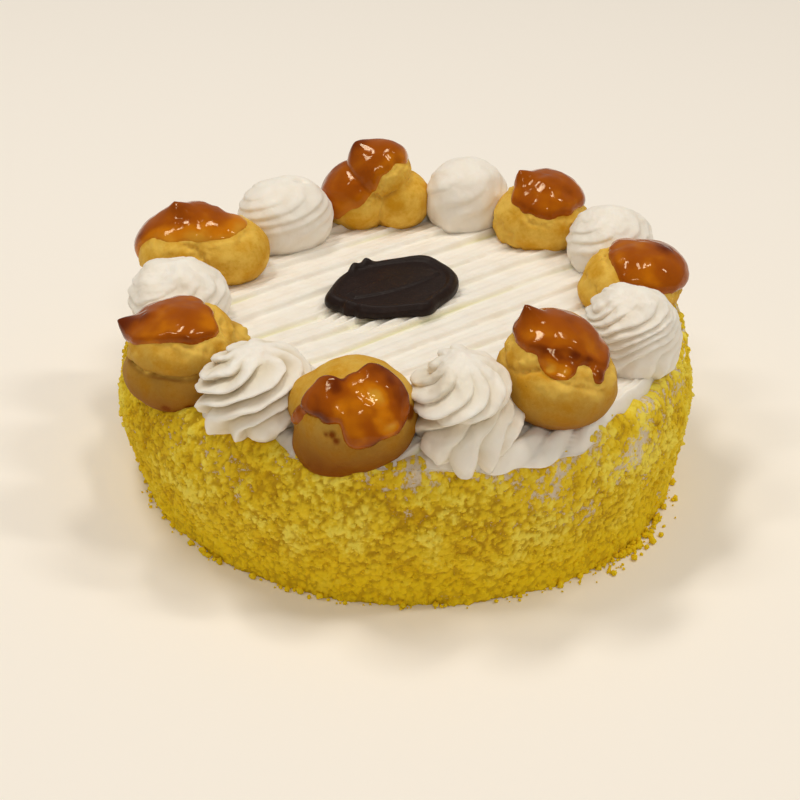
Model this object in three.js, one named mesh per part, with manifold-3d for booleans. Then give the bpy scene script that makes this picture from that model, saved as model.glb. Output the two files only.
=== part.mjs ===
// A round Saint-Honore cake: a sponge coated in yellow cake crumbs, a top of ribbed cream strips,
// a ring of caramel-dipped cream puffs and piped cream rosettes by turns, and a chocolate plaque.
// Millimetres, +Z up. The origin is the middle of the flat base, and -Y is the cake's front.
import * as THREE from "three";
import { mergeVertices } from "three/addons/utils/BufferGeometryUtils.js";
import Module from "manifold-3d";

const wasm = await Module();
wasm.setup();

// Sponge and its coat of crumbs
const CAKE_RADIUS = 105.5;
const CAKE_BULGE = 5.5;
const LEFT_BULGE = 3;
const CAKE_HEIGHT = 60;
const CAKE_LEAN = 1.5;
const CRUMB_RELIEF = 1.5;
const CRUMB_COLUMNS = 84;
const CRUMB_ROWS = 9;
const DECK_TILT = THREE.MathUtils.degToRad(1.3);

// Cream strips piped side by side across the top with a flat serrated nozzle
const GAP = 0.3;
const STRIP_BEARING = THREE.MathUtils.degToRad(39);
const STRIP_WIDTH = 14.5;
const STRIP_COUNT = 15;
const STRIP_LOW = 2.4;
const STRIP_HIGH = 5.2;
const STRIP_TEETH = 3;
const TOOTH_DEPTH = 0.8;
const CREAM_RADIUS = 106;
const CREAM_SEGMENTS = 60;
const CREAM_TOP = STRIP_HIGH + GAP;

// Rope of cream along the rim at the front right, from bearing to bearing. Its first stretch is
// pleated and the rest smooth, thinner towards the end.
const ROPE_START = -74;
const ROPE_END = -14;
const ROPE_REACH = 103.5;
const ROPE_HEIGHT = 1.9;
const ROPE_RADIUS = 2.7;
const ROPE_TAPER = 0.3;
const ROPE_STEPS = 40;
const ROPE_SIDES = 7;
const PLEAT_SPACING = 4.5;
const PLEATED_STRETCH = 24;
const PLEAT_DEPTH = 0.2;

// Puffs. Each has its middle at a bearing, a reach from the cake's axis and a lift above the crumb
// coat's top. Its lobes are [x, y, z, radius], all flattened by squash, and base is how far below
// its middle it is flat. cap is the way its caramel faces and how far round it reaches, and peak
// the way the caramel was drawn up, how far, and how broad the drawn point is.
const PUFF_COLUMNS = 20;
const PUFF_ROWS = 12;
const POLE_CROWDING = 1.25;
const LOBE_SHARPNESS = 0.9;
const CARAMEL_THICKNESS = 1.6;
const CARAMEL_EDGE = 0.12;
const SEAT_SCALE = 1.025;
const PUFFS = [
  {
    name: "puff_front",
    bearing: -102,
    reach: 95,
    lift: 13,
    squash: 0.92,
    base: 17.5,
    lobes: [[1, 0, 0, 21.5], [-12, 3, 3, 11], [-7, -3, -9, 14]],
    cap: { axis: [0.05, -0.72, 0.7], degrees: 58 },
    peak: { axis: [-0.35, -0.45, 0.82], height: 1.2, degrees: 16 },
  },
  {
    name: "puff_front_right",
    bearing: -57,
    reach: 94,
    lift: 22,
    squash: 0.82,
    base: 16.5,
    lobes: [[1, 0, -3, 20.5], [-2, 3, 6, 16], [-10, 4, 0, 11.5]],
    cap: { axis: [0.12, 0.1, 0.95], degrees: 54 },
    peak: { axis: [-0.42, 0.1, 0.9], height: 5.5, degrees: 11 },
  },
  {
    name: "puff_right",
    bearing: 9,
    reach: 88,
    lift: 12,
    squash: 0.72,
    base: 11.5,
    lobes: [[-1, 0, -1, 19.5], [4, 0, 2, 15.5], [-9, -3, -3, 13]],
    cap: { axis: [0.42, -0.1, 0.9], degrees: 66 },
    peak: { axis: [0.6, 0, 0.8], height: 1, degrees: 16 },
  },
  {
    name: "puff_back_right",
    bearing: 54,
    reach: 90,
    lift: 14.5,
    squash: 0.76,
    base: 14,
    lobes: [[0, 0, -3, 19.5], [2, 1, 3, 15.5], [-7, -3, -5, 13]],
    cap: { axis: [0.25, 0, 0.95], degrees: 60 },
    peak: { axis: [-0.45, 0, 0.88], height: 4.5, degrees: 14 },
  },
  {
    name: "puff_back",
    bearing: 99.5,
    reach: 90,
    lift: 16.5,
    squash: 0.95,
    base: 16,
    lobes: [[-8, 0, -3, 15.5], [8.5, 0, -6, 13.5], [1, 0, 8, 13.5]],
    cap: { axis: [-0.25, -0.15, 0.9], degrees: 74 },
    peak: { axis: [-0.25, 0, 0.95], height: 2, degrees: 18 },
  },
  {
    name: "puff_back_left",
    bearing: 157,
    reach: 93,
    lift: 15,
    squash: 0.8,
    base: 14.5,
    lobes: [[-7, 0, -2, 18], [11, 0, -2, 17], [-2, 2, 1, 17]],
    cap: { axis: [-0.15, -0.05, 1], degrees: 64 },
    peak: { axis: [-0.44, 0.02, 0.9], height: 4.5, degrees: 14 },
  },
  {
    name: "puff_left",
    bearing: -149,
    reach: 97,
    lift: 13.5,
    squash: 0.66,
    base: 16.5,
    lobes: [[-1, 0, -7, 21], [0, 0, 4.5, 20], [13, 4, 1, 11]],
    cap: { axis: [-0.12, -0.05, 1], degrees: 66 },
    peak: { axis: [-0.88, 0.03, 0.48], height: 4.5, degrees: 12 },
  },
];

// Rosettes, each one twist of cream from a star nozzle. width goes round the ring, length runs from
// the cake's axis outwards, and twist is how far a ridge turns from the top to the foot. droop is
// how far the foot hangs down outside the cake's rim. depth is a ridge's share of the radius, coil
// that of one broad turn that runs round the whole, and a higher fullness gives a squarer shoulder.
const COLUMNS_PER_RIDGE = 3;
const COIL_TURNS = 1.44;
const COIL_START = 0.17;
const ROSETTE_RINGS = 9;
const STANDING_SHARE = 0.34;
const ROSETTES = [
  {
    name: "rosette_front_left",
    bearing: -125,
    reach: 95,
    width: 38,
    length: 42,
    height: 25,
    ridges: 8,
    depth: 0.3,
    twist: 160,
    coil: 0,
    fullness: 3,
    droop: 3,
  },
  {
    name: "rosette_front",
    bearing: -79,
    reach: 92,
    width: 36,
    length: 46,
    height: 29,
    ridges: 10,
    depth: 0.2,
    twist: 125,
    coil: 0.26,
    fullness: 2.8,
    droop: 5.5,
  },
  {
    name: "rosette_right",
    bearing: -24,
    reach: 88,
    width: 38,
    length: 39,
    height: 27.5,
    ridges: 10,
    depth: 0.12,
    twist: 200,
    coil: 0,
    fullness: 2.9,
    droop: 0,
  },
  {
    name: "rosette_back_right",
    bearing: 30,
    reach: 92,
    width: 36,
    length: 37,
    height: 22.5,
    ridges: 11,
    depth: 0.06,
    twist: 180,
    coil: 0,
    fullness: 2.8,
    droop: 0,
  },
  {
    name: "rosette_back",
    bearing: 76,
    reach: 91,
    width: 36,
    length: 38,
    height: 25,
    ridges: 11,
    depth: 0.06,
    twist: 110,
    coil: 0,
    fullness: 3.2,
    droop: 0,
  },
  {
    name: "rosette_back_left",
    bearing: 128,
    reach: 87,
    width: 43,
    length: 40,
    height: 24,
    ridges: 12,
    depth: 0.07,
    twist: 210,
    coil: 0,
    fullness: 2.7,
    droop: 0,
  },
  {
    name: "rosette_left",
    bearing: -177,
    reach: 90,
    width: 42,
    length: 40,
    height: 22.5,
    ridges: 11,
    depth: 0.12,
    twist: 150,
    coil: 0,
    fullness: 2.6,
    droop: 0,
  },
];

// Chocolate plaque: an oval with a raised rim, a plain band and bosses on its edge, each with its angle
// round the oval, its swell as a share of the oval, and its spread in degrees
const PLAQUE_X = -7.1;
const PLAQUE_Y = 15.1;
const PLAQUE_TURN = THREE.MathUtils.degToRad(34);
const PLAQUE_HALF_LENGTH = 26.8;
const PLAQUE_HALF_WIDTH = 20.8;
const PLAQUE_SLAB = 3.6;
const PLAQUE_RIM = 1;
const RIM_SHARE = 0.84;
const BOSSES = [[36, 0.11, 17], [97, 0.08, 10], [168, 0.1, 15], [270, 0.15, 12]];
const BAND_LENGTH = 40;
const BAND_WIDTH = 11;
const BAND_HEIGHT = 0.8;
const PLAQUE_POINTS = 56;

const MATERIALS = {
  crumb: new THREE.MeshStandardMaterial({ color: 0xe2c021, roughness: 0.95, metalness: 0 }),
  cream: new THREE.MeshStandardMaterial({ color: 0xf1e9da, roughness: 0.6, metalness: 0 }),
  choux: new THREE.MeshStandardMaterial({ color: 0xc8913a, roughness: 0.55, metalness: 0 }),
  chocolate: new THREE.MeshStandardMaterial({ color: 0x2b1a16, roughness: 0.45, metalness: 0 }),
};

// A whole-number mix of three lattice coordinates, as a share from 0 to 1.
function latticeValue(i, j, k) {
  let h = (Math.imul(i, 374761393) + Math.imul(j, 668265263) + Math.imul(k, 2147483647)) | 0;
  h = Math.imul(h ^ (h >>> 13), 1274126177);
  return ((h ^ (h >>> 16)) >>> 0) / 4294967295;
}

// The same geometry with only positions left, its shared vertices merged and flat slivers dropped.
function welded(geometry) {
  const bare = geometry.clone();
  bare.deleteAttribute("normal");
  bare.deleteAttribute("uv");
  const merged = mergeVertices(bare, 1e-3);
  const old = merged.index.array;
  const kept = [];
  for (let i = 0; i < old.length; i += 3) {
    const [a, b, c] = [old[i], old[i + 1], old[i + 2]];
    if (a !== b && b !== c && c !== a) kept.push(a, b, c);
  }
  return merged.setIndex(kept);
}

// Moves every vertex by a function of its place.
function reshaped(geometry, move) {
  const positions = geometry.getAttribute("position");
  const point = new THREE.Vector3();
  for (let i = 0; i < positions.count; i++) {
    move(point.fromBufferAttribute(positions, i));
    positions.setXYZ(i, point.x, point.y, point.z);
  }
  return geometry;
}

function solidOf(geometry) {
  const merged = welded(geometry);
  return new wasm.Manifold(
    new wasm.Mesh({
      numProp: 3,
      vertProperties: new Float32Array(merged.getAttribute("position").array),
      triVerts: new Uint32Array(merged.index.array),
    }),
  );
}

// The largest body of a solid as a geometry, so that no loose scrap of a cut is left.
function geometryOf(solid) {
  const whole = solid.decompose().reduce((a, b) => (a.volume() > b.volume() ? a : b));
  const mesh = whole.getMesh();
  const geometry = new THREE.BufferGeometry();
  geometry.setAttribute("position", new THREE.BufferAttribute(new Float32Array(mesh.vertProperties), 3));
  geometry.setIndex(new THREE.BufferAttribute(new Uint32Array(mesh.triVerts), 1));
  geometry.computeVertexNormals();
  return geometry;
}

// LatheGeometry turns about Y. This stands the turned body up along Z, facing out.
function turned(profile, segments) {
  const points = profile.map(([radius, height]) => new THREE.Vector2(radius, height));
  return new THREE.LatheGeometry(points, segments).rotateX(Math.PI / 2);
}

function fromBearing(degrees, reach, height) {
  const angle = THREE.MathUtils.degToRad(degrees);
  return new THREE.Vector3(reach * Math.cos(angle), reach * Math.sin(angle), height);
}

// The sponge: a barrel with soft corners whose side is broken up by crumbs, flat below and on top.
function cakeBody() {
  const rows = [[0, 0]];
  for (let row = 0; row <= CRUMB_ROWS; row++) {
    const share = row / CRUMB_ROWS;
    rows.push([CAKE_RADIUS + CAKE_BULGE * Math.sin(0.85 * Math.PI * share ** 1.3), CAKE_HEIGHT * share]);
  }
  rows.push([0, CAKE_HEIGHT]);
  const columnAngle = (2 * Math.PI) / CRUMB_COLUMNS;
  return reshaped(welded(turned(rows, CRUMB_COLUMNS)), (p) => {
    const radius = Math.hypot(p.x, p.y);
    const share = p.z / CAKE_HEIGHT;
    const row = Math.round(share * CRUMB_ROWS);
    if (row > 0 && row < CRUMB_ROWS && radius > 1) {
      const column = Math.round(Math.atan2(p.y, p.x) / columnAngle + CRUMB_COLUMNS) % CRUMB_COLUMNS;
      const crumb = CRUMB_RELIEF * (2 * latticeValue(column, row, 7) - 1);
      const left = LEFT_BULGE * Math.max(0, -p.x / radius) * Math.sin(Math.PI * share);
      p.x *= 1 + (crumb + left) / radius;
      p.y *= 1 + (crumb + left) / radius;
      p.z += crumb * (latticeValue(column, row, 11) - 0.5);
    }
    p.z *= 1 + (p.x * Math.tan(DECK_TILT)) / CAKE_HEIGHT;
    p.x -= (CAKE_LEAN * p.z) / CAKE_HEIGHT;
  });
}

// Saw-toothed section of all the strips, each leaning on the one in front of it, drawn out to bars.
function creamStrips() {
  const half = (STRIP_COUNT * STRIP_WIDTH) / 2;
  const section = new THREE.Shape();
  section.moveTo(half, GAP);
  for (let strip = STRIP_COUNT - 1; strip >= 0; strip--) {
    const start = strip * STRIP_WIDTH - half;
    const uneven = 0.8 * (latticeValue(strip, 3, 5) - 0.5);
    for (let tooth = 0; tooth < STRIP_TEETH; tooth++) {
      const share = tooth / STRIP_TEETH;
      const crest = THREE.MathUtils.lerp(STRIP_HIGH, STRIP_LOW + TOOTH_DEPTH, share) + Math.min(uneven, 0);
      const valley = crest - TOOTH_DEPTH;
      const right = start + STRIP_WIDTH * (1 - share);
      section.lineTo(right - 0.6, crest);
      section.lineTo(right - STRIP_WIDTH / STRIP_TEETH, valley);
    }
  }
  section.lineTo(-half, GAP);
  const bars = new THREE.ExtrudeGeometry(section, { depth: 2 * half, bevelEnabled: false, steps: 1 });
  return bars
    .translate(0, 0, -half)
    .rotateX(Math.PI / 2)
    .rotateZ(STRIP_BEARING - Math.PI / 2);
}

// A bar bent along the rim, flat below, with pleats that slant across its first stretch.
function rimRope() {
  const bar = welded(new THREE.CylinderGeometry(1, 1, 1, ROPE_SIDES, ROPE_STEPS));
  return reshaped(bar, (p) => {
    const share = p.y + 0.5;
    const bearing = THREE.MathUtils.lerp(ROPE_START, ROPE_END, share);
    const around = Math.atan2(p.z, p.x);
    const along = (bearing - ROPE_START) / PLEATED_STRETCH;
    const pleat = Math.cos((2 * Math.PI * bearing) / PLEAT_SPACING + around);
    const swell = 1 + PLEAT_DEPTH * pleat * (1 - THREE.MathUtils.smoothstep(along, 0.7, 1));
    const radius = Math.hypot(p.x, p.z) * ROPE_RADIUS * (1 - ROPE_TAPER * share) * swell;
    const height = ROPE_HEIGHT + radius * Math.sin(around);
    p.copy(fromBearing(bearing, ROPE_REACH + radius * Math.cos(around), Math.max(height, GAP)));
  });
}

function creamTop(seats) {
  const disc = turned(
    [[0, 0], [CREAM_RADIUS, 0], [CREAM_RADIUS, 2.2], [CREAM_RADIUS - 5, 7], [0, 7]],
    CREAM_SEGMENTS,
  );
  const whole = solidOf(creamStrips()).intersect(solidOf(disc)).add(solidOf(rimRope()));
  return seats.reduce((cream, seat) => cream.subtract(seat), whole);
}

// How far a puff's skin is from its middle along a direction: its lobes run softly into each other,
// then comes the caramel, and the underside is flat.
function puffReach(puff, along) {
  const flat = new THREE.Vector3(along.x, along.y, along.z / puff.squash);
  const sum = puff.lobes.reduce((total, [x, y, z, radius]) => {
    const middle = new THREE.Vector3(x, y, z / puff.squash);
    const forward = flat.dot(middle);
    const under = forward * forward - flat.lengthSq() * (middle.lengthSq() - radius * radius);
    if (under < 0) return total;
    return total + Math.exp((LOBE_SHARPNESS * (forward + Math.sqrt(under))) / flat.lengthSq());
  }, 0);
  let reach = Math.log(sum) / LOBE_SHARPNESS;
  const facing = along.dot(new THREE.Vector3(...puff.cap.axis).normalize());
  const edge = Math.cos(THREE.MathUtils.degToRad(puff.cap.degrees));
  reach += CARAMEL_THICKNESS * THREE.MathUtils.smoothstep(facing, edge, edge + CARAMEL_EDGE);
  const peakAngle = along.angleTo(new THREE.Vector3(...puff.peak.axis));
  reach += puff.peak.height * Math.exp(-((peakAngle / THREE.MathUtils.degToRad(puff.peak.degrees)) ** 2));
  return along.z < 0 ? Math.min(reach, puff.base / -along.z) : reach;
}

// A ball drawn out along each direction, with one pole where the caramel was drawn up to a point and
// its rows crowded towards that pole.
function puffBody(puff) {
  const pole = new THREE.Vector3(...puff.peak.axis).normalize();
  const turn = new THREE.Quaternion().setFromUnitVectors(new THREE.Vector3(0, 1, 0), pole);
  const ball = welded(new THREE.SphereGeometry(1, PUFF_COLUMNS, PUFF_ROWS));
  const place = new THREE.Spherical();
  return reshaped(ball, (p) => {
    place.setFromVector3(p);
    place.set(1, Math.PI * (place.phi / Math.PI) ** POLE_CROWDING, place.theta);
    p.setFromSpherical(place).applyQuaternion(turn);
    p.multiplyScalar(puffReach(puff, p));
  });
}

// Height of a ridge, from 0 to 1, at a share of the way round from one crest to the next: each swells
// slowly and then drops into a furrow.
function ridgeCrest(share) {
  return share < 2 / 3 ? 0.5 + 0.5 * Math.cos(1.5 * Math.PI * share) : 3 * share - 2;
}

// Height of the broad coil, from 0 to 1, at an angle round a rosette and a share of the way down.
function coilCrest(angle, sweep) {
  const share = THREE.MathUtils.euclideanModulo(angle / (2 * Math.PI) + COIL_TURNS * sweep + COIL_START, 1);
  return Math.sin(Math.PI * share ** 1.6);
}

// A dome of ridges that wind down from a drawn-up tip, steep at the top and foot and flat between.
function rosetteBody(rosette) {
  const profile = [[0, 0]];
  if (rosette.droop > 0) profile.push([STANDING_SHARE, 0]);
  for (let ring = 0; ring < ROSETTE_RINGS; ring++) {
    const rise = ring / ROSETTE_RINGS;
    profile.push([0.5 * Math.sqrt(1 - rise ** rosette.fullness) * (1 - 0.12 * (1 - rise) ** 4), rise]);
  }
  profile.push([0, 1.04]);
  return reshaped(welded(turned(profile, rosette.ridges * COLUMNS_PER_RIDGE)), (p) => {
    const angle = Math.atan2(p.y, p.x);
    const fall = 1 - Math.min(p.z, 1);
    const sweep = 0.4 * fall + 0.6 * THREE.MathUtils.smoothstep(fall, 0.1, 0.85);
    const wound = angle - THREE.MathUtils.degToRad(rosette.twist) * sweep;
    const crest = ridgeCrest(THREE.MathUtils.euclideanModulo((-rosette.ridges * angle) / (2 * Math.PI), 1));
    const swell = rosette.depth * (crest - 0.6) + rosette.coil * (coilCrest(wound, sweep) - 0.6);
    const plain = Math.hypot(p.x, p.y);
    const radius = plain * (1 + swell * THREE.MathUtils.smoothstep(plain, 0.12, 0.36));
    const hanging = THREE.MathUtils.smoothstep(radius * Math.cos(wound), STANDING_SHARE, 0.5) * fall ** 6;
    p.set(
      rosette.length * radius * Math.cos(wound),
      rosette.width * radius * Math.sin(wound),
      rosette.height * p.z - rosette.droop * hanging,
    );
  });
}

// An ellipse whose edge swells at each boss, as a share of the plaque's full outline.
function plaqueOutline(share) {
  const points = [];
  for (let i = 0; i < PLAQUE_POINTS; i++) {
    const degrees = (360 * i) / PLAQUE_POINTS;
    const swell = BOSSES.reduce((sum, [at, height, spread]) => {
      const away = ((degrees - at + 540) % 360) - 180;
      return sum + height * Math.exp(-((away / spread) ** 2));
    }, 1);
    const angle = THREE.MathUtils.degToRad(degrees);
    points.push(new THREE.Vector2(
      share * swell * PLAQUE_HALF_LENGTH * Math.cos(angle),
      share * swell * PLAQUE_HALF_WIDTH * Math.sin(angle),
    ));
  }
  return new THREE.Shape(points);
}

function slab(shape, from, to) {
  const extruded = new THREE.ExtrudeGeometry(shape, { depth: to - from, bevelEnabled: false, steps: 1 });
  return solidOf(extruded.translate(0, 0, from));
}

function plaque() {
  const band = new THREE.Shape();
  band.moveTo(-BAND_LENGTH / 2, -BAND_WIDTH / 4);
  band.quadraticCurveTo(0, -BAND_WIDTH * 0.75, BAND_LENGTH / 2, -BAND_WIDTH / 4);
  band.lineTo(BAND_LENGTH / 2, BAND_WIDTH / 4);
  band.quadraticCurveTo(0, BAND_WIDTH * 0.75, -BAND_LENGTH / 2, BAND_WIDTH / 4);
  band.closePath();
  const top = PLAQUE_SLAB + PLAQUE_RIM;
  return slab(plaqueOutline(1), 0, top)
    .subtract(slab(plaqueOutline(RIM_SHARE), PLAQUE_SLAB, top + 1))
    .add(slab(band, PLAQUE_SLAB / 2, PLAQUE_SLAB + BAND_HEIGHT));
}

function named(name, geometry, material) {
  const mesh = new THREE.Mesh(geometry, material);
  mesh.name = name;
  return mesh;
}

const cake = new THREE.Group();
const deck = new THREE.Group();
deck.position.z = CAKE_HEIGHT;
deck.rotation.y = -DECK_TILT;
deck.updateMatrix();
cake.add(deck);

// Each puff stands in a seat of its own shape, a little larger, pressed into what is under it.
const seats = PUFFS.map((puff) => {
  const place = fromBearing(puff.bearing, puff.reach, puff.lift).toArray();
  const geometry = puffBody(puff);
  const body = solidOf(geometry).translate(place);
  deck.add(named(puff.name, geometryOf(body), MATERIALS.choux));
  return solidOf(geometry).scale(SEAT_SCALE).translate(place);
});

deck.add(named("cream_top", geometryOf(creamTop(seats)), MATERIALS.cream));

const deckMatrix = deck.matrix.toArray();
const sponge = seats.reduce(
  (body, seat) => body.subtract(seat.transform(deckMatrix)),
  solidOf(cakeBody()),
);
cake.add(named("crumb_cake", geometryOf(sponge), MATERIALS.crumb));

// Soft cream gives way where a rosette meets the puffs beside it.
for (const rosette of ROSETTES) {
  const turn = new THREE.Matrix4().makeRotationZ(THREE.MathUtils.degToRad(rosette.bearing));
  turn.setPosition(fromBearing(rosette.bearing, rosette.reach, CREAM_TOP));
  const whole = solidOf(rosetteBody(rosette).applyMatrix4(turn));
  const pressed = seats.reduce((cream, seat) => cream.subtract(seat), whole);
  deck.add(named(rosette.name, geometryOf(pressed), MATERIALS.cream));
}

const plaqueMesh = named("chocolate_plaque", geometryOf(plaque()), MATERIALS.chocolate);
plaqueMesh.position.set(PLAQUE_X, PLAQUE_Y, CREAM_TOP);
plaqueMesh.rotation.z = PLAQUE_TURN;
deck.add(plaqueMesh);

export default cake;
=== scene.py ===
"""Looks of a round cake with crumb-coated sides, a ribbed cream top, caramel-dipped cream puffs,
piped cream rosettes and an oval chocolate plaque. Sizes are in millimetres, as in the solids, and
each mesh is scaled to metres as it is made."""

import logging
import math
from collections.abc import Sequence
from dataclasses import dataclass, field
from enum import Enum
from itertools import combinations

import bpy
import numpy as np
from mathutils import Matrix, Vector


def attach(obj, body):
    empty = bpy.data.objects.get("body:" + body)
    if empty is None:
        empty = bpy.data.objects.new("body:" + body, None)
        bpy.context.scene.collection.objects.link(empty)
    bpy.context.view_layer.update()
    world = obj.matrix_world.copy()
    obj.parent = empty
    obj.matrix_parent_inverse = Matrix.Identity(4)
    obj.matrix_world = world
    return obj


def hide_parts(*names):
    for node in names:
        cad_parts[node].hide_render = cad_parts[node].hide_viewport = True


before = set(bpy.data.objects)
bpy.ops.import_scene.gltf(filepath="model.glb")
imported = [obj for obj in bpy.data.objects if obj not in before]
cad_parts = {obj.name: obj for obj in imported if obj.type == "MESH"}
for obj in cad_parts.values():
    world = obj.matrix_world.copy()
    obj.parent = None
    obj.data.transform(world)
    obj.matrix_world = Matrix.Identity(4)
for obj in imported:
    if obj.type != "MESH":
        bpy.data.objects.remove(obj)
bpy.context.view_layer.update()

Array = np.ndarray
Marks = dict[str, Array]
Row = Sequence[float]
Rows = Sequence[Row]
Pair = tuple[float, float]
Triple = tuple[float, float, float]
Colour = tuple[float, float, float, float]
Material = bpy.types.Material
METRE = 0.001
# How far the foot of piped cream goes into what is below it
SUNK = 3.4
# Distance of a lobe that a direction doesn't meet
UNMET = -99.0
LOG = logging.getLogger("cake")


def tint(red: int, green: int, blue: int) -> Colour:
    """The linear colour, with a full alpha, of screen levels from 0 to 255."""
    levels = [level / 255 for level in (red, green, blue)]
    return (*(v / 12.92 if v <= 0.04045 else ((v + 0.055) / 1.055) ** 2.4 for v in levels), 1.0)


def ease(values: Array, low: float, high: float) -> Array:
    """Shares that rise smoothly from 0 at low to 1 at high."""
    share = np.clip((values - low) / (high - low), 0.0, 1.0)
    return share * share * (3.0 - 2.0 * share)


def around(values: Row, degrees: Array) -> Array:
    """Reads a closed row of values spaced evenly round a circle, starting at -180 degrees.

    Args:
        values: The values, one for each step.
        degrees: Where to read them.

    Returns:
        Values that run smoothly from one step to the next.
    """
    row = np.asarray(values, float)
    place = (degrees + 180.0) / 360.0 * len(row)
    step = np.floor(place).astype(int)
    share = ease(place - step, 0.0, 1.0)
    return row[step % len(row)] * (1.0 - share) + row[(step + 1) % len(row)] * share


def unit(vector: Row) -> Array:
    """The same direction with a length of one."""
    return np.asarray(vector, float) / np.linalg.norm(vector)


def bell(values: Array, width: float) -> Array:
    """Shares that are 1 at 0 and fall off on both sides over the width."""
    return np.exp(-((values / width) ** 2))


def circle(count: int) -> Array:
    """Angles spaced evenly round a circle."""
    return np.linspace(-math.pi, math.pi, count, endpoint=False)


def pairs(first: Array, second: Array) -> tuple[Array, Array]:
    """Every pair of two rows of values, row by row."""
    rows, columns = np.meshgrid(first, second, indexing="ij")
    return rows.ravel(), columns.ravel()


def flat(x: Array, y: Array) -> Array:
    """Places with no height."""
    return np.stack([x, y, np.zeros_like(x)], -1)


def polar(x: Array, y: Array) -> tuple[Array, Array]:
    """Distances from the upright axis and degrees round it."""
    return np.hypot(x, y), np.degrees(np.arctan2(y, x))


def turned(points: Array, angle: float) -> Array:
    """The points turned about the upright axis."""
    (x, y, z), c, s = points.T, math.cos(angle), math.sin(angle)
    return np.stack([x * c - y * s, x * s + y * c, z], -1)


def grid_faces(rows: int, columns: int, closed: bool) -> Array:
    """Triangles over a grid of points that are stored row by row.

    Args:
        rows: Number of rows.
        columns: Points in each row.
        closed: Whether the last column joins the first.

    Returns:
        Three point numbers for each triangle.
    """
    width = columns if closed else columns - 1
    row, column = pairs(np.arange(rows - 1), np.arange(width))
    after = (column + 1) % columns
    a, b = row * columns + column, row * columns + after
    c, d = a + columns, b + columns
    return np.stack([a, b, d, a, d, c], -1).reshape(-1, 3)


def fan(ring: Array, middle: int, upward: bool) -> Array:
    """Triangles from a closed ring of points to one point in its middle.

    Args:
        ring: Point numbers in order.
        middle: Number of the middle point.
        upward: Whether the ring's own order shows from outside.

    Returns:
        Three point numbers for each triangle.
    """
    after = np.roll(ring, -1)
    first, second = (ring, after) if upward else (after, ring)
    return np.stack([first, second, np.full(len(ring), middle)], -1)


def ball(level: int) -> tuple[Array, Array]:
    """Even triangles over a ball of radius one.

    Args:
        level: How many times the twenty first triangles are split in four.

    Returns:
        Points, and three point numbers for each triangle.
    """
    gold = (1.0 + math.sqrt(5.0)) / 2.0
    corners = [(-1, gold, 0), (1, gold, 0), (-1, -gold, 0), (1, -gold, 0)]
    corners += [(0, -1, gold), (0, 1, gold), (0, -1, -gold), (0, 1, -gold)]
    corners += [(gold, 0, -1), (gold, 0, 1), (-gold, 0, -1), (-gold, 0, 1)]
    points = np.array(corners, float)
    gaps = np.linalg.norm(points[:, None] - points[None], axis=-1)
    near = np.isclose(gaps, 2.0)
    faces = []
    for a, b, c in combinations(range(len(points)), 3):
        if near[a, b] and near[b, c] and near[a, c]:
            turn = np.dot(np.cross(points[a], points[b]), points[c])
            faces.append((a, b, c) if turn > 0 else (a, c, b))
    triangles = np.array(faces)
    for _ in range(level):
        edges = np.sort(triangles[:, [[0, 1], [1, 2], [2, 0]]].reshape(-1, 2), axis=1)
        single, place = np.unique(edges, axis=0, return_inverse=True)
        middle = place.reshape(-1, 3) + len(points)
        points = np.concatenate([points, points[single].mean(axis=1)])
        a, b, c = triangles.T
        ab, bc, ca = middle.T
        parts = [(a, ab, ca), (ab, b, bc), (ca, bc, c), (ab, bc, ca)]
        triangles = np.concatenate([np.stack(part, -1) for part in parts])
    return points / np.linalg.norm(points, axis=1, keepdims=True), triangles


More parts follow.
